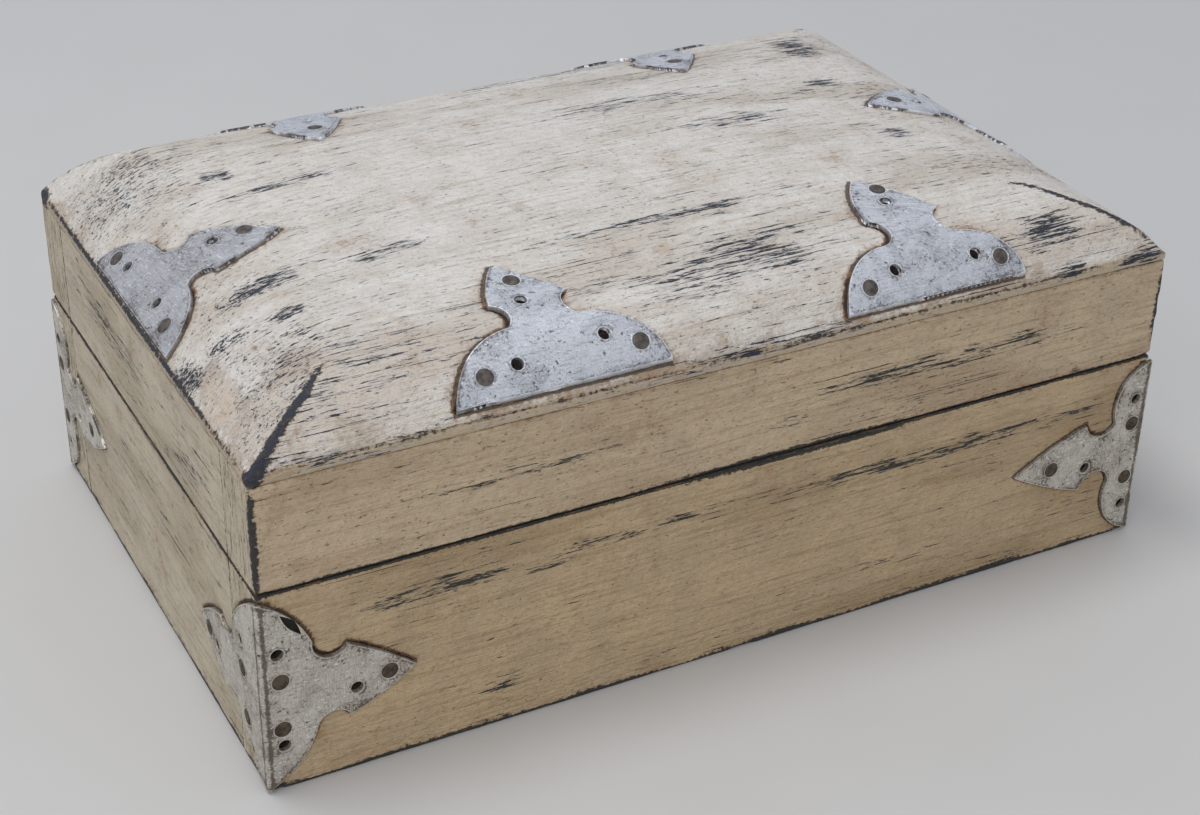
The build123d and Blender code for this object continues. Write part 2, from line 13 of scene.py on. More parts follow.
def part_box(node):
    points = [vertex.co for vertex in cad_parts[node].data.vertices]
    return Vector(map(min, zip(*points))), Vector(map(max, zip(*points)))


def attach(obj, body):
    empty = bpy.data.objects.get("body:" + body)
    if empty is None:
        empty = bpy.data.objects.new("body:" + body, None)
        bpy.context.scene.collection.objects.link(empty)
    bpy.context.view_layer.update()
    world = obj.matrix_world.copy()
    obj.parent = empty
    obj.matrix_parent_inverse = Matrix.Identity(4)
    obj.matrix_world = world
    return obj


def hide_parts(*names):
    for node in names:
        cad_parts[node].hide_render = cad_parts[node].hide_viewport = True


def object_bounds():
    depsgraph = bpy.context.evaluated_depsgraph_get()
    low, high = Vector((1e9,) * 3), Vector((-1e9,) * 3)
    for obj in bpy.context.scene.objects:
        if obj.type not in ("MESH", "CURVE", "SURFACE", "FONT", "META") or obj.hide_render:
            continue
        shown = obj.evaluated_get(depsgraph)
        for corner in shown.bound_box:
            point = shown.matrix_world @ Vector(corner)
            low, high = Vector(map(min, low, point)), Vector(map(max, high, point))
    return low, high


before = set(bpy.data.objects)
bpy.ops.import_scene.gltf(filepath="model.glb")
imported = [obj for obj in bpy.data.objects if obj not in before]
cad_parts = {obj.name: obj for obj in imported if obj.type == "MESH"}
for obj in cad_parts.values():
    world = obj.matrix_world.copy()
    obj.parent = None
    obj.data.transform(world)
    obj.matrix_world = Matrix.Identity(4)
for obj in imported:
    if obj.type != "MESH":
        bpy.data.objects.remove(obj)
cad_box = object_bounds()

# Lengths in this script are millimetres; meshes are scaled to metres when they are made.
MM = 0.001

# Camera, from a fit to the box's corners in the photograph (distances in metres)
focal_length_px = 2212.2
photo_width_px = 1200
sensor_width = 36.0
near_clip = 0.01
camera_azimuth = radians(-28.18)
camera_elevation = radians(30.46)
camera_roll = radians(1.03)
camera_distance = 0.6472
camera_target = Vector((-0.01188, -0.02794, 0.050))

# Stage and light (metres)
floor_half = 12.0
light_aim = (0, 0, 0.05)

# Random values: multipliers that scatter the lattice cells, and the largest value
cell_multipliers = (73856093, 19349663, 83492791)
seed_multiplier = 26544357
mixing_multiplier = 1274126177
largest_random = 0xFFFF

# Grid of the boards' outer faces
fine_pitch = 0.6
coarse_pitch = 2.5
upright_pitch = 1.0
least_pitch = 0.18
edge_lines = (0.3, 0.7, 1.2, 1.9, 2.8)
zone_margin = 2.5
bracket_heights = (4.0, 58.0)

# Rings over a board's rim: free space at the outer and inner edge, pitch, and the inner face's insets
rim_start = 3.6
rim_stop = 3.2
fine_rim_pitch = 0.8
coarse_rim_pitch = 3.2
inner_insets = (0.4, 1.5)

# Grid of the dome: pitch, and first step and growth from the ends and from the front and back
dome_pitch = 0.8
end_lines = (0.5, 1.08)
front_lines = (0.25, 1.06)
# Cuts through the dome that miss the pockets, and the border where heights aren't averaged
end_cuts = (0.0, 10.0, 40.0, -40.0, 58.0, -58.0)
long_cuts = (0.0, 10.0, 105.0, -105.0)
border_width = 1.5
# Rings down the dome's lower band: how far down, and how far in
band_height = 2.4
band_rings = (
    (0.35, 0.0), (0.8, 0.0), (1.2, 0.0), (1.7, 0.01), (2.1, 0.05), (band_height, 0.14), (band_height, 1.5)
)

# Wear of the wooden shapes
corner_zone = 4.0
dome_corner_zone = 5.0
joint_rounding = 0.16
dome_rounding = 0.15
rim_rounding = 0.55
corner_rounding = 1.2
dome_corner_rounding = corner_rounding + 0.3
least_rounding = 0.12
rounding_noise = 0.35
undulation = 0.12
undulation_cell = 30.0
hip_softness = 1.1
hip_width = 1.5
chip_depth = 0.7
joint_line_width = 0.45

# Reading pockets from the CAD nodes: start outside, reach, and safe distances from edges
cast_start = 2.0
pocket_reach = 3.5
deepest_mortise = 2.5
shallowest = 0.05
pocket_inset = 0.6
inside_step = 0.05
dome_inside_step = 0.03
lip_step = 0.02
corner_margin = corner_rounding + 0.1
core_rounding = 1.4
touching = 0.01
merge_distance = 0.002
far_away = 99.0

# Depths at which wear, dirt and painted shade show in the pockets: start, and width of the rise
crevice_rise = (0.0, 0.5)
bare_rise = (0.2, 0.4)
pit_rise = (1.3, 0.6)
inner_rise = (1.0, 1.5)

# Metal shapes and their wear
metal_bevel = 0.3
sharp_angle = radians(38)
shading_angle = radians(50)
flat_angle = radians(0.4)
outline_step = 0.6
metal_pitch = 1.6
metal_undulation = 0.07
metal_cell = 7.0
rim_reach = 1.6
foot_height = 1.6
fold_lines = (0.2, 0.6, 1.1, 1.6, 2.2)
fold_dirt_line = 1.75
fold_dirt_width = 0.7

# Leaf-shaped flaw in the front-left bracket: (x, z) of its ends, width, and front and back y;
# the reach and the y levels between which the sheet is dark
leaf_start = (-134.4, 55.0)
leaf_stop = (-129.0, 47.6)
leaf_width = 2.7
leaf_reach = leaf_width * 2.2
leaf_lower_share = 0.7
leaf_points = 9
leaf_levels = (-91.3, -90.0)
leaf_floor_levels = (-90.45, -89.95)

bracket_seed = 40
plate_seed = 60

# The middle of a noise in the materials, and where threads of paint are lost
noise_middle = 0.5
thread_threshold = 0.705


# Camera

def make_camera():
    """Pinhole camera at the photograph's viewpoint."""
    back = Vector((
        sin(camera_azimuth) * cos(camera_elevation),
        -cos(camera_azimuth) * cos(camera_elevation),
        sin(camera_elevation),
    ))
    level_right = (-back).cross(Vector((0, 0, 1))).normalized()
    level_up = level_right.cross(-back)
    right = cos(camera_roll) * level_right + sin(camera_roll) * level_up
    up = -sin(camera_roll) * level_right + cos(camera_roll) * level_up
    data = bpy.data.cameras.new("camera")
    data.sensor_width = sensor_width
    data.lens = focal_length_px / photo_width_px * sensor_width
    data.clip_start = near_clip
    camera = shown("camera", data)
    turn = Matrix((right, up, back)).transposed().to_4x4()
    camera.matrix_world = Matrix.Translation(camera_target + back * camera_distance) @ turn
    bpy.context.scene.camera = camera


# Small helpers, noise and marks

def shown(name, data):
    """An object of the scene for a mesh, a light or a camera."""
    made = bpy.data.objects.new(name, data)
    bpy.context.scene.collection.objects.link(made)
    return made


def axis_step(axis, length):
    """A step along one axis."""
    step = np.zeros(3)
    step[axis] = length
    return step


straight_down = axis_step(2, -1.0)


def hashed(cells, seed):
    """A repeatable random value from -1 to 1 for each lattice cell."""
    mixed = seed * seed_multiplier
    for axis, multiplier in enumerate(cell_multipliers):
        mixed = mixed ^ cells[:, axis] * multiplier
    mixed = (mixed ^ (mixed >> 13)) * mixing_multiplier
    mixed = mixed ^ (mixed >> 16)
    return (mixed & largest_random) / (largest_random / 2) - 1


def noise(points, cell, seed):
    """Smooth random values from -1 to 1; cell is the size of one patch, for all axes or for each."""
    scaled = points / np.asarray(cell, float)
    low = np.floor(scaled).astype(np.int64)
    part = scaled - low
    part = part * part * (3 - 2 * part)
    total = np.zeros(len(points))
    for corner in product((0, 1), repeat=3):
        weight = np.prod(np.where(corner, part, 1 - part), axis=1)
        total += weight * hashed(low + np.array(corner), seed)
    return total


def marked(points, marks, power=4):
    """Strength of the placed marks at each point. A mark is (centre, reach on each axis, strength)."""
    total = np.zeros(len(points))
    for centre, reach, strength in marks:
        away = (points - np.array(centre)) / np.array(reach)
        total = np.maximum(total, strength * np.exp(-np.sum(np.abs(away) ** power, axis=1)))
    return total


def rise(values, start, width):
    """0 up to start, then rising to 1 over width."""
    return np.clip((values - start) / width, 0, 1)


def bell(distance, width):
    """1 at distance 0, fading like a bell curve."""
    return np.exp(-((distance / width) ** 2))


# CAD nodes as millimetre data

def node_box(name):
    low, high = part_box(name)
    return np.array(low) / MM, np.array(high) / MM


def node_tree(name):
    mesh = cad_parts[name].data
    corners = [vertex.co / MM for vertex in mesh.vertices]
    faces = [tuple(face.vertices) for face in mesh.polygons]
    return BVHTree.FromPolygons(corners, faces)


def depth_below(tree, points, direction, reach):
    """How far the node's surface lies below each point along direction, at most reach."""
    way = Vector(direction)
    found = np.full(len(points), float(reach))
    for index, point in enumerate(points):
        hit = tree.ray_cast(Vector(point) - way * cast_start, way, cast_start + reach)
        if hit[0] is not None:
            found[index] = hit[3] - cast_start
    return found


def smooth_depth(tree, points, direction, reach, axes, pitch):
    """The depth averaged over four samples, so that slanting pocket edges stay smooth."""
    first, second = (axis_step(axis, pitch / 4) for axis in axes)
    total = np.zeros(len(points))
    for moved in (-first - second, second - first, first - second, first + second):
        total += depth_below(tree, points + moved, direction, reach)
    return np.maximum(total / 4, 0.0)


# Sizes of the whole box: its outer corners, half its width and depth over the boards, and the
# rebate that holds the bottom panel
whole_low = np.array(cad_box[0]) / MM
whole_high = np.array(cad_box[1]) / MM
whole_half = (node_box("base_front_board")[1][0], node_box("base_back_board")[1][1])
rebate_height = node_box("base_bottom_panel")[1][2]
rebate_depth = whole_half[1] - node_box("base_bottom_panel")[1][1]


# Meshes

def add_piece(name, mesh, material, body):
    """A piece of the scene in place of the CAD node with that name."""
    mesh.polygons.foreach_set("use_smooth", [True] * len(mesh.polygons))
    mesh.materials.append(material)
    piece = shown("worn_" + name, mesh)
    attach(piece, body)
    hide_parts(name)


def write_fields(mesh, fields):
    """Values at each point that the materials read."""
    for label, values in fields.items():
        layer = mesh.attributes.new(label, "FLOAT", "POINT")
        layer.data.foreach_set("value", np.asarray(values, dtype=np.float32))


def solid_mesh(name, points, faces, fields):
    """A closed mesh without doubled points."""
    mesh = bpy.data.meshes.new(name)
    mesh.from_pydata((points * MM).tolist(), [], faces)
    write_fields(mesh, fields)
    work = bmesh.new()
    work.from_mesh(mesh)
    bmesh.ops.remove_doubles(work, verts=work.verts, dist=merge_distance * MM)
    bmesh.ops.recalc_face_normals(work, faces=work.faces)
    work.to_mesh(mesh)
    work.free()
    return mesh


def graded_lines(low, high, zones, coarse):
    """Grid lines from low to high: fine in the zones and near both ends."""
    lines = [low, high]
    lines += [low + step for step in edge_lines]
    lines += [high - step for step in edge_lines]
    for start, stop in zones:
        lines += list(np.arange(max(start, low), min(stop, high), fine_pitch))
    for value in np.linspace(low, high, round((high - low) / coarse) + 1):
        if not any(start <= value <= stop for start, stop in zones):
            lines.append(value)
    lines.sort()
    kept = [lines[0]]
    for value in lines[1:]:
        if value - kept[-1] > least_pitch:
            kept.append(value)
    kept[-1] = high
    return np.array(kept)


def grid_points(axes, across, upright, level):
    """Points of a grid, row after row; axes are those of its rows, its columns and its level."""
    points = np.zeros((len(across) * len(upright), 3))
    points[:, axes[0]] = np.tile(across, len(upright))
    points[:, axes[1]] = np.repeat(upright, len(across))
    points[:, axes[2]] = level
    return points


def border_of(columns, rows):
    """Numbers of the grid's border points, once round."""
    numbers = np.arange(columns * rows).reshape(rows, columns)
    return np.concatenate((numbers[0], numbers[1:, -1], numbers[-1, -2::-1], numbers[-2:0:-1, 0]))


def quads(first, second):
    """Quads between two rows of point numbers."""
    return np.column_stack((first[:-1], first[1:], second[1:], second[:-1])).tolist()


def shell_faces(columns, rows, ring_count):
    """Faces of a grid, of the rings that follow from its border, and of the last ring's cap."""
    faces = []
    for row in range(rows - 1):
        line = np.arange(row * columns, (row + 1) * columns)
        faces += quads(line, line + columns)
    ring = border_of(columns, rows)
    for number in range(ring_count):
        following = columns * rows + number * len(ring) + np.arange(len(ring))
        faces += quads(np.append(ring, ring[0]), np.append(following, following[0]))
        ring = following
    return faces + [ring.tolist()]


def kept_inside(points, low, high, margin, axes):
    """The points moved inside a box by the margin on the given axes."""
    moved = points.copy()
    for axis in axes:
        moved[:, axis] = np.clip(points[:, axis], low[axis] + margin, high[axis] - margin)
    return moved


def rounded(points, low, high, radius):
    """Points of a sharp block moved onto the same block with rounded edges."""
    wide = radius[:, None]
    core = np.clip(points, low + wide, high - wide)
    away = points - core
    length = np.linalg.norm(away, axis=1)
    scale = np.where(length > radius, radius / np.maximum(length, 1e-9), 1.0)
    return core + away * scale[:, None]


def spread_out(field, rows, columns, amount, rounds):
    """A field of grid points grown sideways, weaker with each step."""
    grown = field.reshape(rows, columns).copy()
    for _ in range(rounds):
        near = np.zeros_like(grown)
        near[1:] = np.maximum(near[1:], grown[:-1])
        near[:-1] = np.maximum(near[:-1], grown[1:])
        near[:, 1:] = np.maximum(near[:, 1:], grown[:, :-1])
        near[:, :-1] = np.maximum(near[:, :-1], grown[:, 1:])
        grown = np.maximum(grown, near * amount)
    return grown.ravel()


def tightened(points, sunk, rows, columns):
    """Pocket depths once paint and dirt have closed most of the gap around a mount."""
    solid = (sunk < 0.05).astype(float)
    near = spread_out(solid, rows, columns, 1.0, 2)
    coarse = 0.9 * noise(points, cell=3.5, seed=51)
    fine = 0.5 * noise(points, cell=1.3, seed=52)
    handmade = np.clip(0.5 + coarse + fine, 0, 1)
    opened = np.clip(marked(points, gap_marks) * 1.1, 0, 1)
    closed = near * (1 - opened) * (0.72 + 0.28 * handmade)
    return sunk * (1 - closed)


# Where the photograph shows wear: centre and reach on each axis in millimetres, and strength
worn_marks = (
    # Front of the base
    ((-92, -90, 49.8), (23, 5, 3.4), 1.02),
    ((-60, -90, 46.5), (10, 5, 1.6), 0.85),
    ((-47, -90, 50), (16, 5, 1.8), 0.85),
    ((-71, -90, 13), (9, 5, 2.6), 0.9),
    ((-27, -90, 50.2), (19, 5, 1.4), 0.9),
    ((66, -90, 48.2), (58, 5, 2.6), 0.95),
    ((58, -90, 15), (18, 5, 1.6), 0.9),
    # Front of the lid
    ((-70, -90, 78.5), (34, 5, 3), 0.8),
    ((66, -90, 78.6), (50, 5, 3), 0.95),
    ((13, -90, 72), (7, 5, 3), 0.7),
    ((12, -90, 97), (30, 4, 2), 0.8),
    ((105, -90, 97), (6, 4, 2), 1),
    ((130, -90, 95.6), (9, 4, 2.4), 1),
    ((-118, -90, 96.6), (12, 4, 1.6), 0.5),
    # Slopes and top of the dome
    ((-138, -41, 98), (4, 7, 4), 1),
    ((-127, -41, 105.5), (6, 4, 4), 1),
    ((-111, -26, 111.5), (12, 4, 6), 1),
    ((-123, 56, 107), (17, 16, 9), 0.5),
    ((-77, -28, 115.5), (12, 3.6, 5), 1),
    ((-87, 25, 115), (19, 2.2, 5), 0.95),
    ((2, -43, 116), (42, 1.7, 5), 0.9),
    ((5, -70, 112), (36, 9, 5), 0.52),
    ((17, -65, 113), (15, 8, 5), 0.7),
    ((-101, 40, 114), (5, 4, 5), 1),
    ((91, -20, 114.6), (6, 4, 5), 1),
    ((93, 24, 114), (6, 4, 5), 1),
    ((102, 55, 113), (7, 10, 6), 0.9),
    ((30, 30, 117), (30, 5, 5), 0.7),
    ((48, 4, 117.5), (18, 5, 5), 0.8),
    ((-104, -77, 110), (20, 7, 8), 0.2),
    ((103, -81, 108), (9, 5, 5), 0.8),
    ((-119, -56, 106), (19, 15, 9), 0.5),
    ((-112, -44, 110), (6, 3, 6), 0.95),
    ((-121, -66, 103), (6, 3, 6), 0.9),
    # Sides that the photograph hides: the same kind of wear
    ((60, 90, 47), (34, 5, 2.4), 0.95),
    ((-20, 90, 18), (24, 5, 2), 0.85),
    ((-66, 90, 80), (30, 5, 2.6), 0.9),
    ((52, 90, 84), (22, 5, 2), 0.8),
    ((140, -30, 46), (5, 22, 2.4), 0.95),
    ((140, 34, 80), (5, 26, 2.4), 0.9),
    ((-140, 20, 80), (5, 40, 5), 0.5),
    ((-140, -48, 78), (5, 20, 8), 0.6),
    ((20, 74, 111), (30, 5, 6), 0.8),
)
# Worn to the dark coat without a break: corners, upright edges and the dome's lower edge
dark_marks = (
    ((-139.7, -90, 77), (1.6, 1.6, 16), 0.72),
    ((139.6, -90, 78), (1.8, 2, 12), 0.7),
    ((-139.8, 90, 78), (1.6, 1.6, 15), 0.66),
    ((139.8, 90, 74), (1.6, 1.6, 9), 0.66),
    ((-138.8, -89.2, 96), (3, 2.6, 3), 0.85),
    ((-140, 86, 95), (2.5, 4, 3), 0.8),
    ((-139.8, 4, 95.9), (0.9, 86, 1), 0.62),
    ((0, -89.8, 96), (138, 0.7, 0.9), 0.24),
    ((139.8, -10, 95.9), (0.9, 80, 1), 0.5),
    ((8, -90, 62.4), (46, 4, 1), 0.75),
    ((18, -90, 61), (36, 4, 1.1), 0.75),
)
# Stretches of the hips that are worn through
hip_marks = (
    ((-126, -80, 104), (16, 14, 14), 1),
    ((116, -76, 108), (22, 18, 14), 0.85),
    ((-128, 78, 103), (13, 12, 12), 0.6),
    ((126, 77, 104), (14, 12, 12), 0.6),
)
# Gaps that stay open between a mount and the wood, mostly in its bites
gap_marks = (
    ((-65, -71, 111.5), (5.5, 7, 4), 1),
    ((-43, -67.4, 112.4), (3, 5, 4), 0.7),
    ((50.4, -71.2, 111.7), (4.5, 7, 4), 1),
    ((31.9, -84, 104), (4, 6, 6), 0.5),
    ((-128.2, -12.9, 105.1), (8, 5, 7), 0.9),
    ((-123.7, -90, 38.5), (6, 3, 5), 0.9),
    ((-112, -90, 38), (12, 3, 3), 0.45),
    ((-124, -90, 17.7), (5, 3, 5), 0.6),
    ((132.4, -90, 37.5), (5, 3, 5), 0.7),
    ((129.3, -90, 17), (6, 3, 6), 0.9),
    ((-140, -75, 38), (3, 6, 6), 0.8),
    ((-140, 72, 38), (3, 8, 6), 0.8),
)
stain_marks = (
    ((-9, -57, 114), (4, 3, 6), 1),
    ((-92, -77, 110), (6, 4, 6), 0.5),
    ((-35, -23, 118), (9, 4, 6), 0.5),
    ((-40, -90, 80), (9, 4, 7), 0.5),
    ((30, -13, 118), (4.5, 3, 5), 0.6),
    ((-130, -87, 96), (12, 6, 5), 0.75),
    ((-134, -60, 99), (8, 20, 7), 0.9),
    ((-118, -66, 108), (16, 16, 8), 0.55),
    ((-112, -90, 2.5), (18, 4, 3.2), 0.85),
    ((-116, -90, 66.5), (20, 4, 2.2), 0.8),
    ((-133, -90, 86), (5, 4, 10), 0.6),
    ((60, -90, 91), (7, 4, 5), 0.5),
    ((-66, -90, 30), (24, 4, 7), 0.35),
)
# Chipped places: centre, reach, extra rounding
chips = (
    ((-138, -90, 96), (7, 5, 3), 1.1),
    ((2, -90, 0.5), (3.5, 3, 3), 0.9),
    ((12, -90, 62), (30, 3, 2), 0.5),
    ((139, -90, 70), (3, 3, 5), 0.6),
    ((139.5, -89, 97), (9, 8, 4), 1.7),
)


# Wooden boards

def let_in_zones(prefix, places, axis):
    """Ranges along an axis where metal is let in."""
    boxes = [node_box(prefix + place) for place in places]
    return [(low[axis] - zone_margin, high[axis] + zone_margin) for low, high in boxes]


class Board:
    """One board as a worn block. axis and side say which way its outer face looks."""

    def __init__(self, name, axis, side, across_zones):
        self.low, self.high = node_box(name)
        self.tree = node_tree(name)
        self.axis = axis
        self.along = 1 - axis
        self.side = side
        self.is_base = name.startswith("base")
        self.is_back = "back" in name
        self.length = (self.high - self.low)[self.along]
        self.thickness = self.high[axis] - self.low[axis]
        self.outer = self.high[axis] if side > 0 else self.low[axis]
        self.inward = axis_step(axis, -side)
        self.full_width = self.length > 2 * whole_half[1]
        self.lay_out(across_zones)
        self.sort_points()
        self.shaped = rounded(self.points, self.low, self.high, self.edge_radius())
        self.sink_outer_face()
        if self.full_width:
            self.sink_end(-1)
            self.sink_end(1)
        if self.is_back:
            self.sink_lip()
        if self.is_base:
            self.cut_rebate()
        self.undulate()

    def lay_out(self, across_zones):
        """The sharp block: a grid on the outer face, rings over its rim, insets on the inner face."""
        low, high, along = self.low, self.high, self.along
        zones = [bracket_heights] if self.is_base else []
        across = graded_lines(low[along], high[along], across_zones, coarse_pitch)
        self.upright = graded_lines(low[2], high[2], zones, upright_pitch)
        self.columns = len(across)
        self.rows = len(self.upright)
        flat = grid_points((along, 2, self.axis), across, self.upright, self.outer)
        border = flat[border_of(self.columns, self.rows)]
        detailed = self.is_back or (self.is_base and self.axis == 1)
        pitch = fine_rim_pitch if detailed else coarse_rim_pitch
        levels = list(edge_lines)
        levels += list(np.arange(rim_start, self.thickness - rim_stop, pitch))
        levels += [self.thickness - step for step in reversed(edge_lines)] + [self.thickness]
        rings = [border + self.inward * level for level in levels]
        for step in inner_insets:
            rings.append(kept_inside(rings[-1], low, high, step, (along, 2)))
        self.ring_count = len(rings)
        self.points = np.vstack([flat] + rings)

    def sort_points(self):
        """Which points lie on the outer face and on the ends, and where rays start."""
        points = self.points
        centre = (self.low + self.high)[self.along] / 2
        self.depth = np.abs(points[:, self.axis] - self.outer)
        self.is_outer = np.arange(len(points)) < self.columns * self.rows
        self.from_end = self.length / 2 - np.abs(points[:, self.along] - centre)
        self.at_end = ~self.is_outer & (self.from_end < touching)
        self.sunk = np.zeros(len(points))
        starts = kept_inside(points, self.low, self.high, corner_margin, (self.along,))
        self.starts = kept_inside(starts, self.low, self.high, inside_step, (2,))

    def edge_radius(self):
        """How far each edge is rounded, with the handmade unevenness."""
        points = self.points
        at_side = np.abs(points[:, 0]) > whole_half[0] - corner_zone
        at_front = np.abs(points[:, 1]) > whole_half[1] - corner_zone
        at_rim = points[:, 2] < self.low[2] + corner_zone
        if self.is_base:
            at_rim |= points[:, 2] > self.high[2] - corner_zone
        radius = np.where((at_side | at_front) & at_rim, rim_rounding, joint_rounding)
        radius = np.where(at_side & at_front, corner_rounding, radius)
        coarse = rounding_noise * noise(points, cell=9.0, seed=5)
        fine = rounding_noise * noise(points, cell=2.6, seed=6)
        return np.maximum(radius * (1 + coarse + fine) + marked(points, chips), least_rounding)

    def sink_outer_face(self):
        """Pockets and nail holes of the outer face."""
        face = self.is_outer
        axes = (self.along, 2)
        self.pocket = smooth_depth(
            self.tree, self.starts[face], self.inward, pocket_reach, axes, fine_pitch
        )
        self.sunk[face] = tightened(self.points[face], self.pocket, self.rows, self.columns)
        self.shaped[face] += self.inward * self.sunk[face][:, None]

    def sink_end(self, hand):
        """The part of a bracket's pocket that lies on the end of a full-width board."""
        chosen = self.at_end & (self.points[:, self.along] * hand > 0)
        way = axis_step(self.along, -hand)
        margins = (corner_margin, self.thickness - edge_lines[0])
        starts = self.points[chosen]
        starts[:, self.axis] = np.clip(
            starts[:, self.axis], *sorted(self.outer - self.side * margin for margin in margins)
        )
        starts[:, 2] = self.starts[chosen][:, 2]
        found = smooth_depth(self.tree, starts, way, pocket_reach, (self.axis, 2), fine_pitch)
        self.sunk[chosen] = found
        self.shaped[chosen] += way * found[:, None]
        self.limit_corner({self.along: hand, self.axis: self.side})

    def limit_corner(self, signs):
        """Where brackets go round a corner, both faces of the corner give way to the pocket.
        signs says for both axes on which side the corner lies."""
        corner = {way: (self.high if sign > 0 else self.low)[way] for way, sign in signs.items()}
        near = np.all([np.abs(self.points[:, way] - corner[way]) < corner_zone for way in corner], axis=0)
        part = self.shaped[near]
        for way, sign in signs.items():
            other = 1 - way
            probe = np.zeros((len(self.upright), 3))
            probe[:, 2] = self.upright
            probe = kept_inside(probe, self.low, self.high, inside_step, (2,))
            probe[:, way] = corner[way]
            probe[:, other] = corner[other] - signs[other] * corner_margin
            found = depth_below(self.tree, probe, axis_step(way, -sign), pocket_reach)
            limit = np.interp(self.points[near, 2], self.upright, np.clip(found, 0, 1))
            part[:, way] = sign * np.minimum(sign * part[:, way], sign * corner[way] - limit)
        self.shaped[near] = part

    def sink_lip(self):
        """Hinge mortises in a back board's rim at the seam, the upper one of the base."""
        up = 1.0 if self.is_base else -1.0
        seam = (self.high if self.is_base else self.low)[2]
        chosen = ~self.is_outer & ~self.at_end & (self.points[:, 2] * up > seam * up - touching)
        starts = self.points[chosen] + self.inward * lip_step
        found = depth_below(self.tree, starts, axis_step(2, -up), pocket_reach)
        found = np.where(found > deepest_mortise, 0.0, np.maximum(found, 0.0))
        self.shaped[chosen, 2] -= up * found

    def cut_rebate(self):
        """The step along the lower inner edge that holds the bottom panel."""
        cut = (self.depth > rebate_depth + touching) & (self.shaped[:, 2] < rebate_height)
        if self.full_width:
            cut &= np.abs(self.points[:, self.along]) < whole_half[0] - rebate_depth
        self.shaped[cut] = self.points[cut]
        self.shaped[cut, 2] = rebate_height

    def undulate(self):
        """Hand-worked faces are never quite flat."""
        wave = (noise(self.points, undulation_cell, seed=11) - 1) / 2 * undulation
        self.near_face = (self.depth < 3).astype(float)
        self.shaped -= self.inward * (wave * self.near_face)[:, None]

    def on_face(self, field, amount, rounds):
        """A field of the outer face grown sideways, and 0 on all other points."""
        grown = np.zeros(len(self.points))
        grown[self.is_outer] = spread_out(field[self.is_outer], self.rows, self.columns, amount, rounds)
        return grown

    def darkened(self, from_lower, from_upper):
        """Painted shade in the seam's gap and along the ragged lower edge, and the dark joints of the
        boards.
        """
        uneven = 0.75 + 0.35 * noise(self.points, cell=12.0, seed=71)
        total = 0.9 * uneven * bell(from_upper if self.is_base else from_lower, 0.6)
        if self.is_base:
            ragged_width = 2.0 * (1 + 0.55 * noise(self.points, cell=(8.0, 8.0, 40.0), seed=72))
            total = np.maximum(total, 1.1 * uneven * bell(from_lower, ragged_width))
        if self.full_width:
            from_joint = np.where(self.at_end, self.thickness - self.depth, far_away)
        else:
            from_joint = np.where(self.is_outer, self.from_end, far_away)
        return np.maximum(total, 0.95 * uneven * bell(from_joint, joint_line_width))

    def fields(self):
        """What the material reads at each point."""
        points = self.points
        from_lower = points[:, 2] - self.low[2]
        from_upper = self.high[2] - points[:, 2] if self.is_base else np.full(len(points), far_away)
        from_corner = sum(whole_half[way] - np.abs(points[:, way]) for way in (0, 1))
        from_edge = np.minimum(np.minimum(from_lower, from_upper), from_corner)
        crevice = np.zeros(len(points))
        crevice[self.is_outer] = rise(self.pocket, *crevice_rise)
        crevice[self.at_end] = rise(self.sunk[self.at_end], *crevice_rise)
        bare = self.on_face(rise(self.sunk, *bare_rise), 0.4, 1)
        bare[self.at_end] = rise(self.sunk[self.at_end], *bare_rise)
        # Painted shade at the seam and along the lower edge, with the boards' dark joints
        darkened = self.darkened(from_lower, from_upper)
        return {
            "worn": marked(points, worn_marks),
            "dark": np.maximum(marked(points, dark_marks), darkened),
            "stain": marked(points, stain_marks, 2),
            "edge": np.exp(-from_edge / 1.3) * np.maximum(self.near_face, self.at_end),
            "pit": rise(self.sunk, *pit_rise),
            "crevice": crevice,
            "bare": bare,
            "inner": np.where(self.is_outer | self.at_end, 0.0, rise(self.depth, *inner_rise)),
            "endgrain": self.at_end * float(self.full_width),
            "halo": self.on_face(crevice, 0.75, 4),
        }


def add_board(name, axis, side, material, across_zones):
    board = Board(name, axis, side, across_zones)
    faces = shell_faces(board.columns, board.rows, board.ring_count)
    mesh = solid_mesh("worn_" + name, board.shaped, faces, board.fields())
    add_piece(name, mesh, material, name.split("_")[0])


# The dome

def growing_lines(half, first, growth, widest):
    """Lines from -half to half, close together at both ends."""
    steps = [0.0]
    step = first
    while steps[-1] + step < half - widest / 2:
        steps.append(steps[-1] + step)
        step = min(step * growth, widest)
    outer_half = [-half + value for value in steps]
    return np.array(outer_half + [0.0] + [-value for value in reversed(outer_half)])


